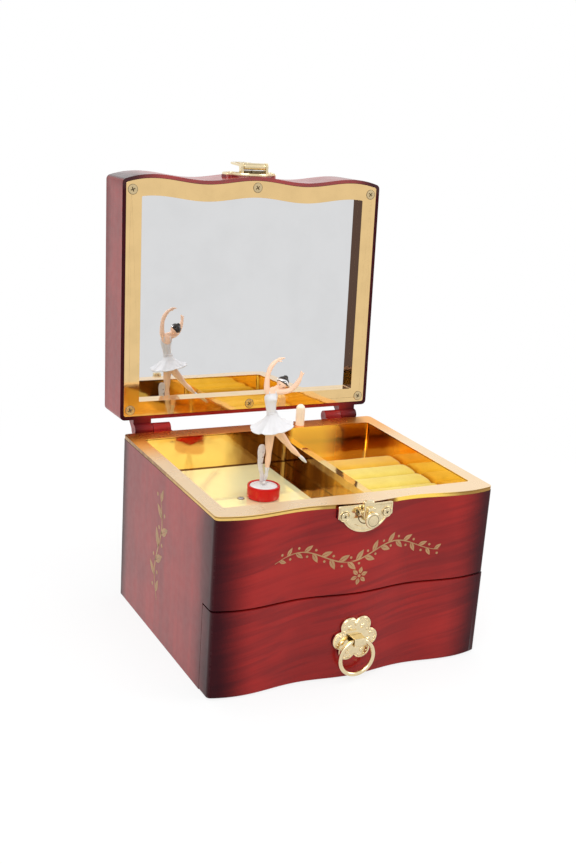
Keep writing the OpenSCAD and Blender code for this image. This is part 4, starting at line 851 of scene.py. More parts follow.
def looseParts(node):
    # corner lists of the separate solids of a node
    work = bmesh.new()
    work.from_mesh(nodes[node].data)
    bmesh.ops.remove_doubles(work, verts=work.verts, dist=0.002 * mm)
    work.verts.index_update()
    seen = set()
    parts = []
    for start in work.verts:
        if start.index in seen:
            continue
        seen.add(start.index)
        stack, part = [start], []
        while stack:
            v = stack.pop()
            part.append(v.co / mm)
            for edge in v.link_edges:
                other = edge.other_vert(v)
                if other.index not in seen:
                    seen.add(other.index)
                    stack.append(other)
        parts.append(part)
    work.free()
    return parts


def crossWedges(radius, headHeight, top, share=1.0):
    # the two tapered bars of a cross recess, from its bottom up to a height
    wide, reach = radius * screwLook["crossWidth"] * share, radius * screwLook["crossReach"] * share
    low = headHeight - max(headHeight, 0.9) * screwLook["crossDepth"]
    corners = ((-1, -1), (1, -1), (1, 1), (-1, 1))
    verts = [(sx * reach, sy * wide / 2 * 1.3, top) for sx, sy in corners]
    verts += [(sx * reach * 0.35, sy * wide / 2 * 0.7, low) for sx, sy in corners]
    faces = [(0, 1, 2, 3), (7, 6, 5, 4), (0, 4, 5, 1), (1, 5, 6, 2), (2, 6, 7, 3), (3, 7, 4, 0)]
    turns = [math.radians(turn + screwLook["crossTurn"]) for turn in (0, 90)]
    return [moved((verts, faces), Matrix.Rotation(turn, 4, "Z")) for turn in turns]


def crossShade(radius, headHeight):
    # painted shade: dark floor of the recess and a painted shadow ring under the head
    return joined(*crossWedges(radius, headHeight, headHeight * screwLook["paintedShade"], 0.97),
                  wire(circle(radius * 1.02, 40, 0.08), screwLook["ring"], 8, True))


def crossHead(radius, headHeight, shankRadius, length):
    # screw along Z, the underside of its head at 0
    dome = headHeight * screwLook["dome"]
    arcPart = [(radius * math.cos(a), headHeight - dome + dome * math.sin(a)) for a in
               (math.pi / 2 * i / 8 for i in range(8))]
    profile = [(0, -length), (shankRadius * 0.5, -length), (shankRadius * 0.85, -length + 0.5),
               (shankRadius, -length + 1.2), (shankRadius, 0), (radius * 0.96, 0), (radius, headHeight * 0.12)]
    head = turned(profile + arcPart + [(0, headHeight)], 40)
    cutters = crossWedges(radius, headHeight, headHeight + 0.2)
    items = []
    for verts, faces in [head] + cutters:
        mesh = bpy.data.meshes.new("blank")
        mesh.from_pydata([Vector(v) for v in verts], [], faces)
        faceOutwards(mesh)
        items.append(bpy.data.objects.new("blank", mesh))
        bpy.context.scene.collection.objects.link(items[-1])
    for cutter in items[1:]:
        cut = items[0].modifiers.new("cross", "BOOLEAN")
        cut.object = cutter
        cut.operation = "DIFFERENCE"
        cut.solver = "EXACT"
    edge = items[0].modifiers.new("edge", "BEVEL")
    edge.width = screwLook["edge"]
    edge.segments = 2
    edge.limit_method = "ANGLE"
    edge.angle_limit = math.radians(40)
    graph = bpy.context.evaluated_depsgraph_get()
    mesh = bpy.data.meshes.new_from_object(items[0].evaluated_get(graph))
    part = [v.co.copy() for v in mesh.vertices], [tuple(p.vertices) for p in mesh.polygons]
    for item in items:
        bpy.data.objects.remove(item)
    return part


for nodeName, (finishName, slot, body, facing) in screwNodes.items():
    axis = Vector(facing)
    if body == "lid":
        axis = openLid.to_3x3() @ axis
    sideA = axis.orthogonal().normalized()
    sideB = axis.cross(sideA)
    pieces, paintedShade = [], []
    for part in looseParts(nodeName):
        heights = [v.dot(axis) for v in part]
        alongA, alongB = [v.dot(sideA) for v in part], [v.dot(sideB) for v in part]
        middle = sideA * (min(alongA) + max(alongA)) / 2 + sideB * (min(alongB) + max(alongB)) / 2
        radii = [(v - axis * h - middle).length for v, h in zip(part, heights)]
        radius = max(radii)
        under = min(h for h, r in zip(heights, radii) if r > radius * 0.9)
        shank = max(r for h, r in zip(heights, radii) if h < under - 0.2)
        if not pieces:
            template = crossHead(radius, max(heights) - under, shank, under - min(heights))
            dark = crossShade(radius, max(heights) - under)
        foot = middle + axis * under
        twist = Matrix.Rotation(screwLook["twist"] * len(pieces), 4, "Z")
        pieces.append(moved(template, toward(*foot, axis) @ twist))
        paintedShade.append(moved(dark, toward(*foot, axis) @ twist))
    item = makePiece(nodeName + "Made", *joined(*pieces), finishName, body, slot)
    sharpen(item)
    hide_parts(nodeName)
    # painted shade in each cross and round each head
    makePiece(nodeName + "RecessShade", *joined(*paintedShade), "shadedBrass", body, slot)
print("screws made")

# dancer, all measured upwards from the toe she stands on

spin = Vector(joints["dancer_spin"]["pos_m"]) / mm
toe = Vector((spin.x, spin.y, boxMm("dancer_figure")[0].z))

dancer = {  # x to her left, z up, then half width and half depth
    "torso": [(2.9, 0, 25.8, 2.4, 2.2), (2.9, 0, 28.5, 4.3, 3.1), (2.5, 0, 31.5, 3.5, 2.7),
              (1.8, 0, 35.4, 2.15, 1.8), (1.2, 0, 39.6, 2.45, 2.05), (0.9, -0.1, 43.4, 3.0, 2.35),
              (1.2, 0, 46.2, 3.15, 1.9), (1.3, 0, 47.6, 2.1, 1.5), (1.6, 0, 48.3, 1.2, 1.1)],
    "neck": [(1.2, 0, 46.6, 1.5, 1.3), (2.4, 0, 48.0, 1.2, 1.15), (4.1, 0, 49.2, 1.02), (5.9, 0, 50.4, 1.1)],
    "standingLeg": [(2.0, 0, 28.5, 2.5), (1.7, 0, 24.0, 2.35), (1.6, 0, 19.0, 1.95), (1.6, -0.15, 14.4, 1.40),
                    (1.6, 0.3, 10.6, 1.50), (1.35, 0.15, 6.6, 1.05), (1.15, 0, 4.2, 0.70),
                    (0.9, -0.1, 2.5, 0.85, 0.9), (0.65, 0, 0.9, 0.58), (0.6, 0, 0.35, 0.40)],
    "heldLeg": [(4.0, 0, 28.6, 2.5), (6.3, 0, 25.4, 2.35), (9.6, 0, 21.6, 1.98), (13.1, -0.1, 17.5, 1.40),
                (15.6, 0.25, 15.0, 1.52), (18.0, 0.1, 12.8, 1.10), (19.7, 0, 11.3, 0.72),
                (21.1, 0, 10.0, 0.85, 0.8), (22.8, 0, 8.4, 0.55), (23.4, 0, 7.9, 0.36)],
    "leftArm": [(0.2, 0, 46.2, 1.4), (-1.35, 0, 47.9, 1.55), (-1.75, 0, 51.6, 1.36), (-1.4, 0, 56.0, 1.16),
                (-0.3, 0, 59.2, 1.24), (1.5, 0, 61.6, 1.08), (3.1, 0, 62.8, 0.84), (4.6, 0, 63.5, 0.92, 0.55),
                (6.2, 0, 63.9, 0.62, 0.40), (7.4, 0, 63.85, 0.3)],
    "rightArm": [(2.2, 0, 46.0, 1.4), (4.2, -0.7, 46.9, 1.6), (7.2, -2.2, 47.4, 1.5), (9.8, -4.0, 48.6, 1.36),
                 (11.8, -5.2, 51.2, 1.3), (13.0, -6.0, 53.8, 1.1), (13.5, -6.4, 55.4, 0.86),
                 (13.7, -6.7, 56.7, 0.98, 0.6), (13.5, -7.0, 57.9, 0.72, 0.45), (13.1, -7.2, 58.7, 0.34)],
    "leftThumb": [(3.7, -0.2, 62.9, 0.42), (4.7, -0.6, 62.5, 0.36), (5.6, -0.8, 62.4, 0.24)],
    "rightThumb": [(13.8, -6.7, 56.2, 0.42), (14.6, -7.1, 57.2, 0.36), (14.9, -7.3, 57.9, 0.24)],
    "chest": [(-0.2, -1.35, 43.6), (2.1, -1.35, 43.6)], "chestSize": (1.15, 1.1, 1.1),
    "head": (6.8, 0, 51.2), "headSize": (2.75, 3.0, 3.3), "grain": 0.27,
    "looks": (-0.55, -0.62, -0.56), "crown": (0.42, -0.45, 0.79),
}


def onDancer(part):
    return moved(part, at(*toe))


def makeFigure():
    parts = [limb(dancer[key]) for key in ("torso", "standingLeg", "heldLeg", "leftArm", "rightArm",
                                           "leftThumb", "rightThumb", "neck")]
    parts += [moved(ball(dancer["chestSize"], 16, 10), at(*place)) for place in dancer["chest"]]
    item = makePiece("figureBody", *onDancer(joined(*parts)), "skinPlastic", "dancer", "figure_plastic")
    grid = item.modifiers.new("grid", "REMESH")
    grid.mode = "VOXEL"
    grid.voxel_size = dancer["grain"] * mm
    even = item.modifiers.new("even", "SMOOTH")
    even.factor = 0.5
    even.iterations = 5
    applyAll(item)
    item.data.shade_smooth()
    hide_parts("dancer_figure")


look = Vector(dancer["looks"]).normalized()
crown = Vector(dancer["crown"])
crown = (crown - look * crown.dot(look)).normalized()
besides = look.cross(crown).normalized()
headFrame = Matrix((besides, look, crown)).transposed().to_4x4()  # x sideways, y to the face, z to the crown

face = {  # height across and up the face of each rise or hollow, its width and its height
    "nose": (0, -0.12, 0.13, 0.55), "noseBridge": (0, 0.08, 0.10, 0.22), "mouth": (0, -0.47, 0.15, 0.16),
    "chin": (0, -0.80, 0.20, 0.22), "jaw": 0.30,
    "eyeHollow": (0.36, 0.10, 0.17, -0.24), "cheek": (0.50, -0.22, 0.26, 0.10),
    "brow": (0.36, 0.30, 0.16, 0.08),
    "eye": (0.36, 0.90, 0.09), "eyeSize": (0.42, 0.12, 0.17), "browLine": (0.36, 0.86, 0.30),
    "browSize": (0.46, 0.10, 0.07), "lip": (0, 0.88, -0.47), "lipSize": (0.42, 0.12, 0.10),
}

hair = {"knot": (0, -0.86, 0.50), "under": 0.30, "over": 0.66, "strands": 30, "strand": 0.055,
        "bunSize": (1.35, 1.0, 1.35), "bunOut": 3.1, "bunGroove": 0.06}


def hill(d, x, z, width, height):
    # small rise or hollow on the face side of the head
    if d.y < 0.1:
        return 0.0
    return height * math.exp(-((d.x - x) ** 2 + (d.z - z) ** 2) / width ** 2)


def headRadius(d):
    sx, sy, sz = dancer["headSize"]
    jaw = 1 - face["jaw"] * max(0.0, -d.z) ** 1.5
    r = 1 / math.sqrt((d.x / (sx * jaw)) ** 2 + (d.y / sy) ** 2 + (d.z / sz) ** 2)
    r += sum(hill(d, *face[key]) for key in ("nose", "noseBridge", "mouth", "chin"))
    for side in (-1, 1):
        for key in ("eyeHollow", "cheek", "brow"):
            x, z, width, height = face[key]
            r += hill(d, side * x, z, width, height)
    return r


def onHead(part):
    return onDancer(moved(part, at(*dancer["head"]) @ headFrame))


def onFace(direction, side=1):
    # place just under the skin in a direction from the middle of the head
    x, y, z = direction
    d = Vector((side * x, y, z)).normalized()
    return d * (headRadius(d) - 0.02)


def makeHead():
    verts, faces = ball((1, 1, 1), 72, 48)
    bare = [v * headRadius(v) for v in verts]
    makePiece("figureHead", *onHead((bare, faces)), "skinPlastic", "dancer", "figure_plastic")
    # hair drawn back to a knot, its strands running from the brow to the knot
    knot = Vector(hair["knot"]).normalized()
    sideways = Vector((1, 0, 0))
    strands = []
    for v in verts:
        edge = v.y * 0.86 - v.z * 0.42 + 0.10 * abs(v.x)
        cover = 1 / (1 + math.exp((edge - 0.22) * 22))
        turn = math.atan2(v.dot(sideways), v.dot(knot.cross(sideways)))
        combed = hair["strand"] * math.sin(hair["strands"] * turn) * (1 - abs(v.dot(knot)) ** 4)
        strands.append(v * (headRadius(v) - hair["under"] + cover * (hair["over"] + combed)))
    makePiece("figureHair", *onHead((strands, faces)), "hairPaint", "dancer", "figure_plastic")
    bun, bunFaces = ball((1, 1, 1), 40, 24)
    wound = []
    for v in bun:
        groove = hair["bunGroove"] * math.sin(5 * math.atan2(v.x, v.z) + 9 * v.y)
        wound.append(Vector([a * b for a, b in zip(v, hair["bunSize"])]) * (1 + groove))
    wound = moved((wound, bunFaces), at(*(knot * hair["bunOut"])))
    makePiece("figureBun", *onHead(wound), "hairPaint", "dancer", "figure_plastic")
    # painted face
    marks = []
    for side in (-1, 1):
        marks.append(moved(ball(face["eyeSize"], 16, 10), at(*onFace(face["eye"], side))))
        marks.append(moved(ball(face["browSize"], 16, 8), at(*onFace(face["browLine"], side))
                           @ Matrix.Rotation(side * 0.2, 4, "Y")))
    makePiece("figureEyes", *onHead(joined(*marks)), "hairPaint", "dancer", "figure_plastic")
    d = Vector(face["lip"]).normalized()
    lips = [moved(ball(face["lipSize"], 16, 8), at(0, d.y * headRadius(d) - 0.02, d.z * headRadius(d) + rise))
            for rise in (-0.09, 0.07)]
    makePiece("figureLips", *onHead(joined(*lips)), "lipPaint", "dancer", "figure_plastic")


feathers = {"count": 7, "length": 2.5, "width": 0.8, "thick": 0.14, "first": 0.25, "spread": 1.2,
            "lean": 0.5, "leanStep": 0.16, "lift": 0.42, "clasp": (0.45, 0.45, 0.3), "claspAt": (0, 0.42, 0.9)}


def makeFeathers():
    # two sprays of silver feathers laid over the hair from a middle clasp
    parts = []
    for side in (-1, 1):
        for k in range(feathers["count"]):
            turn = feathers["first"] + feathers["spread"] * k / (feathers["count"] - 1)
            d = Vector((side * math.sin(turn), 0.34 * math.cos(turn) - 0.05, math.cos(turn) * 0.9)).normalized()
            spot = d * (headRadius(d) + feathers["lift"])
            down = Vector((side * math.cos(turn), 0, -math.sin(turn)))
            lay = Matrix((down, d.cross(down), d)).transposed().to_4x4()
            fan = Matrix.Rotation(side * (feathers["lean"] - feathers["leanStep"] * k), 4, "Z")
            leaf = ball((feathers["length"] / 2, feathers["width"] / 2, feathers["thick"]), 20, 10)
            parts.append(moved(leaf, at(*spot) @ lay @ fan))
    d = Vector(feathers["claspAt"]).normalized()
    parts.append(moved(ball(feathers["clasp"], 20, 10), at(*(d * (headRadius(d) + 0.5)))))
    makePiece("featherBand", *onHead(joined(*parts)), "featherSilver", "dancer", "figure_plastic")


bodice = {"from": 34.6, "proud": 0.30, "frontTop": 47.0, "backTop": 43.0, "sides": 40, "fold": 0.04,
          "bust": 0.75, "bustAt": 43.6, "straps": 0.3,
          "strapAt": [(-0.9, 0.4), (3.0, -0.5)]}  # where each starts and how far it leans in


def makeBodice():
    path = [p for p in curved(dancer["torso"], 12) if bodice["from"] <= p[2] <= bodice["frontTop"]]
    rings = []
    slope = bodice["frontTop"] - bodice["backTop"]
    for p in path:
        ring = []
        for a in around(bodice["sides"]):
            x, y = math.cos(a), math.sin(a)
            top = bodice["backTop"] + slope * (1 - y) / 2 - 0.5 * (1 - abs(x))
            fold = bodice["fold"] * math.sin(9 * a)
            bust = bodice["bust"] * max(0.0, -y) ** 2 * math.exp(-((p[2] - bodice["bustAt"]) / 1.5) ** 2)
            grow = bodice["proud"] + fold
            ring.append(Vector((p[0] + x * (p[3] + grow), p[1] + y * (p[4] + grow) - bust, min(p[2], top))))
        rings.append(ring)
    parts = [skin(rings)]
    for x, inward in bodice["strapAt"]:
        parts.append(wire([(x, -1.9, 46.0), (x + inward * 0.5, -1.6, 47.2), (x + inward, 0, 47.9),
                           (x + 0.1, 1.6, 46.6), (x, 2.0, 44.2)], bodice["straps"], 8))
    makePiece("bodice", *onDancer(joined(*parts)), "skirtPlastic", "dancer", "skirt_plastic")


shoes = {"proud": 0.12, "rimOut": 0.14, "rim": 0.13, "from": {"standingLeg": 5, "heldLeg": 6}}


def makeShoes():
    parts = []
    for key, start in shoes["from"].items():
        points = [(x, y, z, w[0] + shoes["proud"], w[-1] + shoes["proud"])
                  for x, y, z, *w in dancer[key][start:]]
        parts.append(limb(points))
        x, y, z, w = dancer[key][start][:4]
        after = Vector(dancer[key][start + 1][:3])
        along = (after - Vector((x, y, z))).normalized()
        rim = circle(w + shoes["rimOut"], 24)
        parts.append(moved(wire(rim, shoes["rim"], 8, True), toward(x, y, z, along)))
    makePiece("balletShoes", *onDancer(joined(*parts)), "skirtPlastic", "dancer", "skirt_plastic")


skirt = {"middle": 2.6, "flutes": 8, "depth": 0.045, "lift": 0.45, "tilt": 1.9, "thick": 0.42, "sides": 144,
         "band": (1.9, 2.4, 2.15, 35.9), "bandThick": 0.32,
         "profile": [(2.35, 36.4), (2.7, 35.2), (3.5, 33.9), (4.8, 32.4), (6.5, 31.1), (8.3, 29.9), (9.9, 29.1),
                     (11.0, 28.7)]}


def makeSkirt():
    reach = (boxMm("dancer_skirt")[1].x - boxMm("dancer_skirt")[0].x) / 2
    rings = []
    for r, h in curved(skirt["profile"], 5):
        share = max(0.0, (r - 3.2) / (11.0 - 3.2))
        ring = []
        for a in around(skirt["sides"]):
            flute = math.cos(skirt["flutes"] * a + 0.7 * math.sin(2 * a) + 0.4)
            flute += 0.35 * math.sin((skirt["flutes"] * 2 + 1) * a)
            grow = 1 + skirt["depth"] * share * flute
            lift = share * (skirt["lift"] * 0.55 * flute + skirt["tilt"] * math.cos(a))
            radius = min(r * grow, reach - 0.25)
            ring.append(Vector((skirt["middle"] + radius * math.cos(a), radius * math.sin(a), h + lift)))
        rings.append(ring)
    verts, faces = skin(rings)
    item = makePiece("flutedSkirt", *onDancer((verts, faces[:-2])), "skirtPlastic", "dancer", "skirt_plastic")
    wall = item.modifiers.new("wall", "SOLIDIFY")
    wall.thickness = skirt["thick"] * mm
    wall.offset = -1
    applyAll(item)
    item.data.shade_smooth()
    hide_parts("dancer_skirt")
    x, wide, deep, high = skirt["band"]
    waist = [Vector((x + wide * math.cos(a), deep * math.sin(a), high + 0.1 * math.sin(3 * a)))
             for a in around(48)]
    band = onDancer(wire(waist, skirt["bandThick"], 10, True))
    makePiece("waistBand", *band, "skirtPlastic", "dancer", "skirt_plastic")


strip = {"path": [(-0.6, 0, 0.2, 1.5, 0.55), (-1.1, 0, 3.2, 1.1, 0.5), (-1.9, 0, 6.2, 1.25, 0.48),
                  (-2.3, 0, 9.4, 1.5, 0.48), (-2.2, 0, 12.6, 1.7, 0.48), (-2.0, 0, 15.4, 2.15, 0.48),
                  (-1.9, 0, 17.4, 2.0, 0.46)],
         "holes": [(-1.3, 9.2), (-1.1, 12.2), (-1.1, 15.0)], "holeSize": 0.42, "behind": 0.9}


def makeStrip():
    part = onDancer(moved(limb(strip["path"], 24, 6), at(0, strip["behind"], 0)))
    item = makePiece("clearSupport", *part, "clearStrip", "dancer", "clear_plastic")
    bit = turned([(0, -2), (strip["holeSize"], -2), (strip["holeSize"], 2), (0, 2)], 20)
    drills = [moved(bit, at(*toe) @ toward(x, strip["behind"], z, (0, 1, 0))) for x, z in strip["holes"]]
    verts, faces = joined(*drills)
    mesh = bpy.data.meshes.new("blank")
    mesh.from_pydata([v * mm for v in verts], [], faces)
    drill = bpy.data.objects.new("blank", mesh)
    bpy.context.scene.collection.objects.link(drill)
    cut = item.modifiers.new("holes", "BOOLEAN")
    cut.object = drill
    cut.solver = "EXACT"
    applyAll(item)
    bpy.data.objects.remove(drill)
    sharpen(item, 40)
    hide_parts("dancer_support")


cup = {"wall": 1.15, "floor": 1.0, "facets": 8, "facetDepth": 0.05,
       "profile": [(0, 0), (0.86, 0), (0.95, 0.03), (0.985, 0.10), (1, 0.24), (1, 0.86), (0.992, 0.95),
                   (0.965, 0.99), (0.935, 1.0)]}


def makeCup():
    low, high = boxMm("dancer_cup")
    r, h = (high.x - low.x) / 2, high.z - low.z
    outside = [(r * a, h * b) for a, b in cup["profile"]]
    inner = r - cup["wall"]
    floor = cup["floor"]
    inside = [(inner + 0.15, h - 0.05), (inner, h - 0.35), (inner, floor + 0.4), (inner - 0.4, floor),
              (0, floor)]

    def facet(a, radius, height):
        return (cup["facetDepth"] * math.cos(cup["facets"] * a) if radius > r * 0.97 else 0.0), 0.0

    part = moved(turned(outside + inside, 96, facet), at(spin.x, spin.y, low.z))
    item = makePiece("redCup", *part, "redPlastic", "dancer_base", "red_plastic")
    sharpen(item, 50)
    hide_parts("dancer_cup")


mound = {"radius": 5.0, "height": 0.6, "hub": 0.6, "lumps": 0.8}


def makeTurntable():
    low, high = boxMm("turntable")
    r, hub = (high.x - low.x) / 2, mound["hub"]
    top = high.z - low.z
    profile = [(0, 0), (3, 0), (3, hub), (r - 0.2, hub), (r, hub + 0.2), (r, top - 0.2), (r - 0.2, top),
               (mound["radius"], top), (mound["radius"] * 0.8, top + mound["height"] * 0.35),
               (mound["radius"] * 0.5, top + mound["height"] * 0.85), (1.7, top + mound["height"]),
               (1.3, top + 0.1), (0, top + 0.05)]

    def lumpy(a, radius, height):
        if height < top + 0.02 or radius < 1.6:
            return 0.0, 0.0
        bump = noise.noise(Vector((math.cos(a) * radius, math.sin(a) * radius, 3.0)) * mound["lumps"])
        return 0.5 * bump, 0.12 * bump

    part = turned(profile, 72, lumpy)
    item = makePiece("whiteDisc", *moved(part, at(spin.x, spin.y, low.z)), "whitePlastic", "turntable",
                     "white_plastic")
    sharpen(item, 50)
    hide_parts("turntable")


makeFigure()
makeHead()
makeFeathers()
makeBodice()
makeShoes()
makeSkirt()
makeStrip()
makeCup()
makeTurntable()
print("dancer made")

# ring rolls, crowned pads of plush side by side

rolls = {"count": 5, "shadedFrom": 4, "square": 3.3, "endRound": 2.6, "sides": 56, "steps": 44, "fuzz": 0.10}


def rollShape(x0, x1, y0, y1, z0, z1, seed):
    rings = []
    halfY, halfZ = (y1 - y0) / 2, (z1 - z0) / 2
    for i in range(rolls["steps"] + 1):
        t = i / rolls["steps"]
        t = 0.5 - 0.5 * math.cos(math.pi * t)
        x = x0 + (x1 - x0) * t
        near = min(x - x0, x1 - x, rolls["endRound"]) / rolls["endRound"]
        full = 0.45 + 0.55 * math.sqrt(max(0.0, 1 - (1 - near) ** 2))
        sag = 1 - 0.018 * math.sin(math.pi * (2.3 * t + seed)) ** 2
        ring = []
        for a in around(rolls["sides"]):
            c, s = math.cos(a), math.sin(a)
            power = 2 / rolls["square"]
            y = math.copysign(abs(c) ** power, c) * halfY * (0.8 + 0.2 * full)
            z = math.copysign(abs(s) ** power, s) * halfZ * (full * sag if s > 0 else 1)
            p = Vector((x, (y0 + y1) / 2 + y, (z0 + z1) / 2 + z))
            fuzz = rolls["fuzz"] * noise.noise(p * 2.2 + Vector((seed * 7, 0, 0)))
            ring.append(Vector((x, p.y, max(p.z + fuzz, z0) if s < 0.2 else p.z + fuzz)))
        rings.append(ring)
    return skin(rings)


def makeRolls():
    low, high = boxMm("ring_rolls")
    pitch = (high.y - low.y) / rolls["count"]
    for i in range(rolls["count"]):
        y0 = low.y + pitch * i
        part = rollShape(low.x, high.x, y0 + 0.02, y0 + pitch - 0.02, low.z, high.z, i * 0.37)
        # painted shade: the rearmost roll takes the deeper amber plush
        plush = "rollPlush" if i < rolls["shadedFrom"] else "rollPlushDeep"
        item = makePiece("ringRoll" + str(i + 1), *part, plush, "case", "roll_plush")
    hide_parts("ring_rolls")


lining = {"columns": 96, "rows": 48, "lift": 0.35, "uneven": 0.14, "patches": 0.09, "thick": 0.5}


def makeLining():
    # thin plush sheet laid in the drawer, a little uneven
    low, high = boxMm("drawer_lining")
    columns, rows = lining["columns"], lining["rows"]
    verts = []
    for j in range(rows + 1):
        for i in range(columns + 1):
            x = low.x + (high.x - low.x) * i / columns
            y = low.y + (high.y - low.y) * j / rows
            lift = lining["lift"] + lining["uneven"] * noise.noise(Vector((x, y, 5)) * lining["patches"])
            verts.append(Vector((x, y, low.z + lift)))
    wide = columns + 1
    faces = [(j * wide + i, j * wide + i + 1, (j + 1) * wide + i + 1, (j + 1) * wide + i)
             for j in range(rows) for i in range(columns)]
    item = makePiece("drawerLining", verts, faces, "liningPlush", "drawer", "lining_plush")
    wall = item.modifiers.new("wall", "SOLIDIFY")
    wall.thickness = lining["thick"] * mm
    wall.offset = 1
    applyAll(item)
    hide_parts("drawer_lining")


makeRolls()
makeLining()
print("plush made")

# latch: catch plate on the case, hasp plate and hasp on the lid

plate = {"width": 29.3, "height": 14, "ear": 7.5, "chin": 14, "thick": 1.2, "screwAt": 11.3, "screwDrop": 5,
         "scoop": 2.6, "rim": 0.28, "rimInset": 0.75, "hole": 1.05, "dish": 2.55}


def plateOutline():
    w, ear, chin = plate["width"] / 2, plate["ear"], plate["chin"]
    side = math.degrees(math.asin(ear / chin))
    start = math.degrees(math.atan2(1.2, -2.31))
    right = arc(w - 0.8, -0.8, 0.8, 90, 0, 5)
    right += arc(w + 0.6, -ear - 1.2, plate["scoop"], 103, start, 8)
    right += arc(0, chin - plate["height"], chin, -side, -90, 20)
    return right + [(-x, y) for x, y in reversed(right[:-1])]


def platePiece():
    # stamped plate with a raised rim and a ring round each screw, flat, its top edge at 0
    outline = plateOutline()
    holes = [arc(s * plate["screwAt"], -plate["screwDrop"], plate["hole"], 0, 345, 23) for s in (-1, 1)]
    parts = [stamped([outline] + holes, plate["thick"], 0.25)]
    face = plate["thick"] / 2
    rim = [(x, y, face) for x, y in inset(outline, plate["rimInset"])]
    parts.append(wire(rim, plate["rim"], 8, True))
    for s in (-1, 1):
        dish = arc(s * plate["screwAt"], -plate["screwDrop"], plate["dish"], 0, 350, 35)
        parts.append(wire([(x, y, face) for x, y in dish], 0.3, 8, True))
    return joined(*parts)


catch = {"button": [(2.2, 2.3), (3.3, 1.75), (3.75, 1.5), (3.9, 1.1), (3.86, 0.5), (3.6, 0.16), (3.1, 0),
                    (2.8, 0.03), (2.5, 0.16), (0, 0.1)],  # its radius at depths behind its face
         "neck": [(0, 0), (2.6, 0), (2.3, 0.6)], "studDrop": 5.6,
         "tabHalf": 2.6, "tabDeep": 2.9, "lipHalf": 1.9,
         "knuckles": 3, "knuckleFirst": -4.4, "knucklePitch": 0.9, "knuckle": 1.15, "knuckleWire": 0.36,
         "ridge": 5.6, "ridgeDrop": 9.6, "ridgeSag": 1.5, "ridgeWire": 0.22}


def makeCatch():
    low, high = boxMm("catch_plate")
    crest = high.y  # the case's foremost line, where the plate lies
    face = crest - plate["thick"]
    top = boxMm("catch_screws")[1].z + 3  # the screws stand 5 mm under the plate's top edge
    back = at(0, crest - plate["thick"] / 2, top) @ standing
    stud = top - catch["studDrop"]
    front = toward(0, face, stud, (0, -1, 0))
    out = face - low.y
    button = turned(catch["neck"] + [(r, out - depth) for r, depth in catch["button"]], 56)
    parts = [moved(platePiece(), back), moved(button, front)]
    tabBack = face - 0.15
    tabFront = tabBack - catch["tabDeep"]
    tab, lip = catch["tabHalf"], catch["lipHalf"]
    parts.append(roundBox(-tab, tab, tabFront, tabBack, stud, high.z, 0.6))
    parts.append(roundBox(-lip, lip, low.y + 2.0, tabFront + 0.4, stud + 1.0, high.z - 2.4, 0.5))
    # coiled knuckles of the catch's spring beside the neck
    for k in range(catch["knuckles"]):
        x = catch["knuckleFirst"] + catch["knucklePitch"] * k
        loop = [(x, y, z) for y, z, end in circle(catch["knuckle"], 28)]
        parts.append(moved(wire(loop, catch["knuckleWire"], 8, True), at(0, face - 1.0, stud + 2.2)))
    ridge = catch["ridge"]
    chinRidge = [(x, -catch["ridgeDrop"] - catch["ridgeSag"] * (1 - (x / ridge) ** 2), plate["thick"] / 2)
                 for x in (-ridge + 2 * ridge * i / 24 for i in range(25))]
    parts.append(moved(wire(chinRidge, catch["ridgeWire"], 8), back))
    # painted shade: dark rings round the button, a dark band under the tab and a dark patch in the coil
    shades = [wire([front @ Vector(p) for p in circle(radius, 48, height)], thick, 8, True)
              for radius, height, thick in ((3.98, 0.12, 0.24), (2.75, out - 0.08, 0.13))]
    shades.append(roundBox(-5.3, -2.9, face - 0.5, face + 0.1, stud + 0.6, stud + 3.4, 0.2))
    shades.append(roundBox(-2.9, 2.9, face - 0.25, face + 0.1, stud + 2.9, top - 0.4, 0.1))
    shade = makePiece("catchShade", *joined(*shades), "shadedBrass", "case", "pale_brass")
    sharpen(shade)
    item = makePiece("catchPlateMade", *joined(*parts), "paleBrass", "case", "pale_brass")
    sharpen(item)
    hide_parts("catch_plate")


hasp = {"width": 12.4, "length": 21, "thick": 0.9, "eye": 1.8, "bore": 0.87, "window": (-4.5, 4.5, -17.2, -6.8),
        "corner": 2.4, "tipRound": 7.4, "bead": 0.24, "cheek": 1.4, "cheekHigh": 1.75,
        "cap": [(0, -0.1), (1.5, -0.1), (1.75, 0.1), (1.9, 0.3), (1.9, 1.1), (1.75, 1.3), (1.5, 1.5), (0, 1.5)]}


def haspPlace():
    # the hasp's pin on the closed lid, found from its joint on the open one
    return openLid.inverted() @ (Vector(joints["hasp_hinge"]["pos_m"]) / mm)


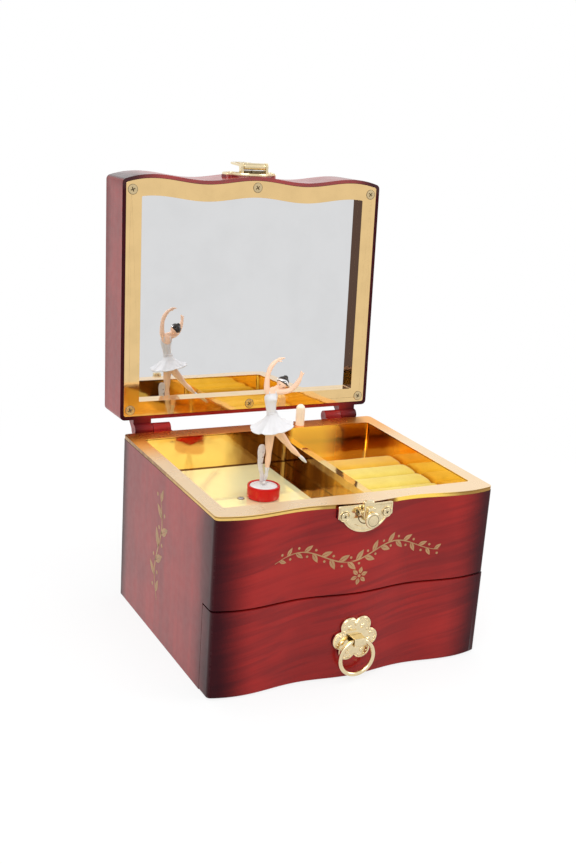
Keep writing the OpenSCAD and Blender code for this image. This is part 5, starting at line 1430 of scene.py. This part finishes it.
def makeHaspPlate():
    pin = haspPlace()
    shut = openLid.inverted()
    # the plate lies on the same line as the catch plate, its screws 5 mm under its top edge
    crest = boxMm("catch_plate")[1].y
    ends = [shut @ v for v in looseParts("hasp_screws")[0]]
    top = (min(v.z for v in ends) + max(v.z for v in ends)) / 2 + plate["screwDrop"]
    face = crest - plate["thick"]
    parts = [moved(platePiece(), at(0, crest - plate["thick"] / 2, top) @ standing)]
    half = hasp["width"] / 2 + 0.3
    for s in (-1, 1):
        x0, x1 = sorted((s * half, s * (half + hasp["cheek"])))
        parts.append(roundBox(x0, x1, pin.y - 1.9, face + 0.02, pin.z - hasp["cheekHigh"],
                              pin.z + hasp["cheekHigh"], 0.35))
        parts.append(moved(turned(hasp["cap"], 32), toward(s * half, pin.y, pin.z, (s, 0, 0))))
    item = makePiece("haspPlateMade", *moved(joined(*parts), openLid), "paleBrass", "lid", "pale_brass")
    sharpen(item)
    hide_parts("hasp_plate")
    # painted shade: a dark sheet that closes the space under the pin
    shadeWeb = joined(roundBox(-half, half, pin.y + 2.1, face, pin.z - 0.2, pin.z + 0.5, 0.12),
                 roundBox(-1.5, -0.4, pin.y + 2.0, face, pin.z - 1.2, pin.z + 0.2, 0.2))
    shadeWeb = makePiece("haspShadeWeb", *moved(shadeWeb, openLid), "shadedBrass", "lid", "pale_brass")
    sharpen(shadeWeb)


def makeHasp():
    pin = haspPlace()
    w = hasp["width"] / 2
    tip = -hasp["length"]
    corner, nose = hasp["corner"], hasp["tipRound"]
    outline = [(-w, 0)] + arc(corner - w, tip + 4.6, corner, 180, 235, 6)
    outline += arc(0, tip + nose, nose, 248, 292, 10)
    outline += arc(w - corner, tip + 4.6, corner, 305, 360, 6) + [(w, 0)]
    x0, x1, z0, z1 = hasp["window"]
    hole = arc(x0 + 1, z0 + 1, 1, 180, 270, 4) + arc(x1 - 1, z0 + 1, 1, 270, 360, 4)
    hole += arc(x1 - 1, z1 - 1, 1, 0, 90, 4) + arc(x0 + 1, z1 - 1, 1, 90, 180, 4)
    sheet = stamped([outline, hole], hasp["thick"], 0.2)
    parts = [moved(sheet, standing)]
    for line in (inset(outline, 0.7), inset(hole, -0.5)):  # raised beads along the edge and the window
        bead = [(x, y, hasp["thick"] / 2) for x, y in line]
        parts.append(moved(wire(bead, hasp["bead"], 8, True), standing))
    roll = stamped([dot(0, 0, hasp["eye"], 32), dot(0, 0, hasp["bore"], 24)], hasp["width"], 0.25)
    parts.append(moved(roll, Matrix.Rotation(math.radians(90), 4, "Y")))
    # the hasp is folded up over its plate
    fold = Matrix.Rotation(-math.radians(joints["hasp_hinge"]["range_deg"][1]), 4, "X")
    item = makePiece("haspMade", *moved(joined(*parts), openLid @ at(*pin) @ fold), "paleBrass", "hasp",
                     "pale_brass")
    sharpen(item)
    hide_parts("hasp")


pull = {"lobes": [(0, 0, 7.4), (3.4, 5.6, 4.8), (7.5, -1.2, 4.7), (3.9, -7.2, 4.7)], "height": 22,
        "thick": 1.0, "slot": (-3.15, 3.15),
        "slotHalf": 0.34, "bumps": [(3.6, 5.3, 1.25), (8.2, 1.0, 0.85), (3.9, -7.6, 1.15), (6.3, 3.2, 0.7),
                                    (6.7, -5.2, 0.7)],
        "beads": 30, "beadInset": 1.75, "rim": 0.26, "rimInset": 0.75, "points": 240}


def cloudOutline():
    # farthest reach of the lobes all round
    lobes = [(s * x, y, r) for x, y, r in pull["lobes"] for s in (-1, 1)]
    out = []
    for a in around(pull["points"]):
        c, s = math.cos(a), math.sin(a)
        best = 0
        for x, y, r in lobes:
            along, off = x * c + y * s, x * s - y * c
            if abs(off) < r:
                best = max(best, along + math.sqrt(r * r - off * off))
        out.append((best * c, best * s))
    return out


def makePullPlate():
    low, high = boxMm("pull_plate")
    outline = cloudOutline()
    staple = boxMm("pull_staple")
    slots = []
    x0, x1 = pull["slot"]
    for middle in (staple[0].z + 0.3, staple[1].z - 0.3):
        foot = middle - pull["height"] - pull["slotHalf"]
        top = middle - pull["height"] + pull["slotHalf"]
        slots.append([(x0, foot), (x1, foot), (x1, top), (x0, top)])
    parts = [stamped([outline] + slots, pull["thick"], 0.22)]
    face = pull["thick"] / 2
    rim = [(x, y, face) for x, y in inset(outline, pull["rimInset"])]
    parts.append(wire(rim, pull["rim"], 8, True))
    dome = [(1, 0), (0.92, 0.25), (0.7, 0.5), (0.38, 0.66), (0, 0.72)]
    for x, y, r in pull["bumps"]:
        for s in (-1, 1):
            parts.append(moved(turned([(a * r, b * r * 0.8) for a, b in dome], 24), at(s * x, y, face - 0.05)))
    beadLine = inset(outline, pull["beadInset"])
    for x, y in beadLine[::pull["points"] // pull["beads"]]:
        parts.append(moved(turned([(a * 0.38, b * 0.4) for a, b in dome], 10), at(x, y, face - 0.03)))
    place = at(0, high.y - pull["thick"] / 2, pull["height"]) @ standing
    item = makePiece("pullPlateMade", *moved(joined(*parts), place), "paleBrass", "drawer", "pale_brass")
    sharpen(item)
    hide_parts("pull_plate")


makeCatch()
makeHaspPlate()
makeHasp()
makePullPlate()
print("latch and pull made")

# coil under the plunger, built at rest; it rides the plunger and is not pressed together as the plunger goes
# down

coil = {"turns": 7, "wire": 0.3, "points": 28, "gather": 0.09}


def makeCoil():
    low, high = boxMm("plunger_spring")
    middle = (low + high) / 2
    radius = (high.x - low.x) / 2 - coil["wire"]
    bottom, top = low.z + coil["wire"], high.z - coil["wire"]
    path = []
    count = coil["turns"] * coil["points"]
    for i in range(count + 1):
        t = i / count
        rise = t - coil["gather"] * math.sin(2 * math.pi * t)  # turns lie closer at both ends
        a = 2 * math.pi * coil["turns"] * t
        path.append((middle.x + radius * math.cos(a), middle.y + radius * math.sin(a),
                     bottom + (top - bottom) * rise))
    item = makePiece("plungerCoil", *wire(path, coil["wire"], 10), "plainSteel", "plunger", "steel")
    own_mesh(item)
    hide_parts("plunger_spring")


makeCoil()
print("plunger coil made")

# printed decor: a vine and a flower on the front, a sprig on each side of the case

vine = {"proud": 0.05, "stroke": 0.32, "step": 4.1, "leaf": (5.6, 1.15), "berry": 0.55, "petal": (3.4, 1.0),
        "petals": 6, "flower": -11.5,
        "front": {"start": -45, "end": 45, "swing": 3.6, "turns": 1.75, "height": 65, "size": 1.12},
        "side": {"start": 20, "end": 78, "swing": 4.2, "turns": 1.0, "middle": 7, "size": 1.9}}


def leafShape(x, y, angle, long, wide):
    # pointed leaf with a slim slot of bare lacquer for its midrib
    upper = []
    for i in range(13):
        t = i / 12
        upper.append((long * t, wide * math.sin(math.pi * t ** 0.85) + 0.02))
    edge = upper + [(u, -v) for u, v in reversed(upper)]
    rib = [(long * 0.72, 0.05), (long * 0.12, 0.15), (long * 0.12, -0.15), (long * 0.72, -0.05)]
    c, s = math.cos(angle), math.sin(angle)
    return [[(x + u * c - v * s, y + u * s + v * c) for u, v in outline] for outline in (edge, rib)]


def vineShapes(sprig):
    # waving stem along x, thin at its ends, with a leaf and a berry at every step
    start, end = sprig["start"], sprig["end"]

    def wave(x):
        return sprig["swing"] * math.sin(2 * math.pi * sprig["turns"] * (x - start) / (end - start))

    left, right = [], []
    steps = round((end - start) / 0.6)
    for i in range(steps + 1):
        x = start + (end - start) * i / steps
        half = vine["stroke"] * sprig["size"] * (0.35 + 0.65 * math.sin(math.pi * i / steps))
        left.append((x, wave(x) + half))
        right.append((x, wave(x) - half))
    shapes = [[left + right[::-1]]]
    count = round((end - start) / vine["step"] / sprig["size"])
    long, wide = vine["leaf"]
    for k in range(count):
        x = start + (end - start) * (k + 0.5) / count
        size = sprig["size"] * (0.65 + 0.35 * math.sin(math.pi * (k + 0.5) / count))
        slope = math.atan2(wave(x + 0.1) - wave(x - 0.1), 0.2)
        side = 1 if k % 2 else -1
        shapes.append(leafShape(x, wave(x), slope + side * 0.75, long * size, wide * size))
        bx = x + 1.4 * sprig["size"]
        shapes.append([dot(bx, wave(bx) - side * 1.9 * sprig["size"], vine["berry"] * sprig["size"])])
    return shapes


def flowerShapes(x, y):
    shapes = [[dot(x, y, 0.8)]]
    for a in (turn + 0.3 for turn in around(vine["petals"])):
        shapes.append(leafShape(x + 1.3 * math.cos(a), y + 1.3 * math.sin(a), a, *vine["petal"]))
    return shapes


def makeVine():
    low, high = boxMm("case_shell")
    mesh = nodes["case_shell"].data
    shell = BVHTree.FromPolygons([v.co / mm for v in mesh.vertices], [tuple(p.vertices) for p in mesh.polygons])
    proud = vine["proud"]
    front, side = vine["front"], vine["side"]
    prints = [stamped(shape, 2 * proud, 0.01) for shape in vineShapes(front) + flowerShapes(0, vine["flower"])]
    verts, faces = joined(*prints)
    laid = []
    for u, v, w in verts:  # the flat print is laid on the waving front
        z = v + front["height"]
        hit = shell.ray_cast(Vector((u, low.y - 20, z)), Vector((0, 1, 0)))[0]
        laid.append((u, hit.y - w, z))
    makePiece("frontVine", laid, faces, "goldPrint", "case", "gold_plastic", soft=False)
    verts, faces = joined(*[stamped(shape, 2 * proud, 0.01) for shape in vineShapes(side)])
    for name, facing in (("leftSprig", -1), ("rightSprig", 1)):
        laid = [(facing * (high.x + w), side["middle"] + v, u) for u, v, w in verts]
        makePiece(name, laid, faces, "goldPrint", "case", "gold_plastic", soft=False)


makeVine()
print("vine printed")
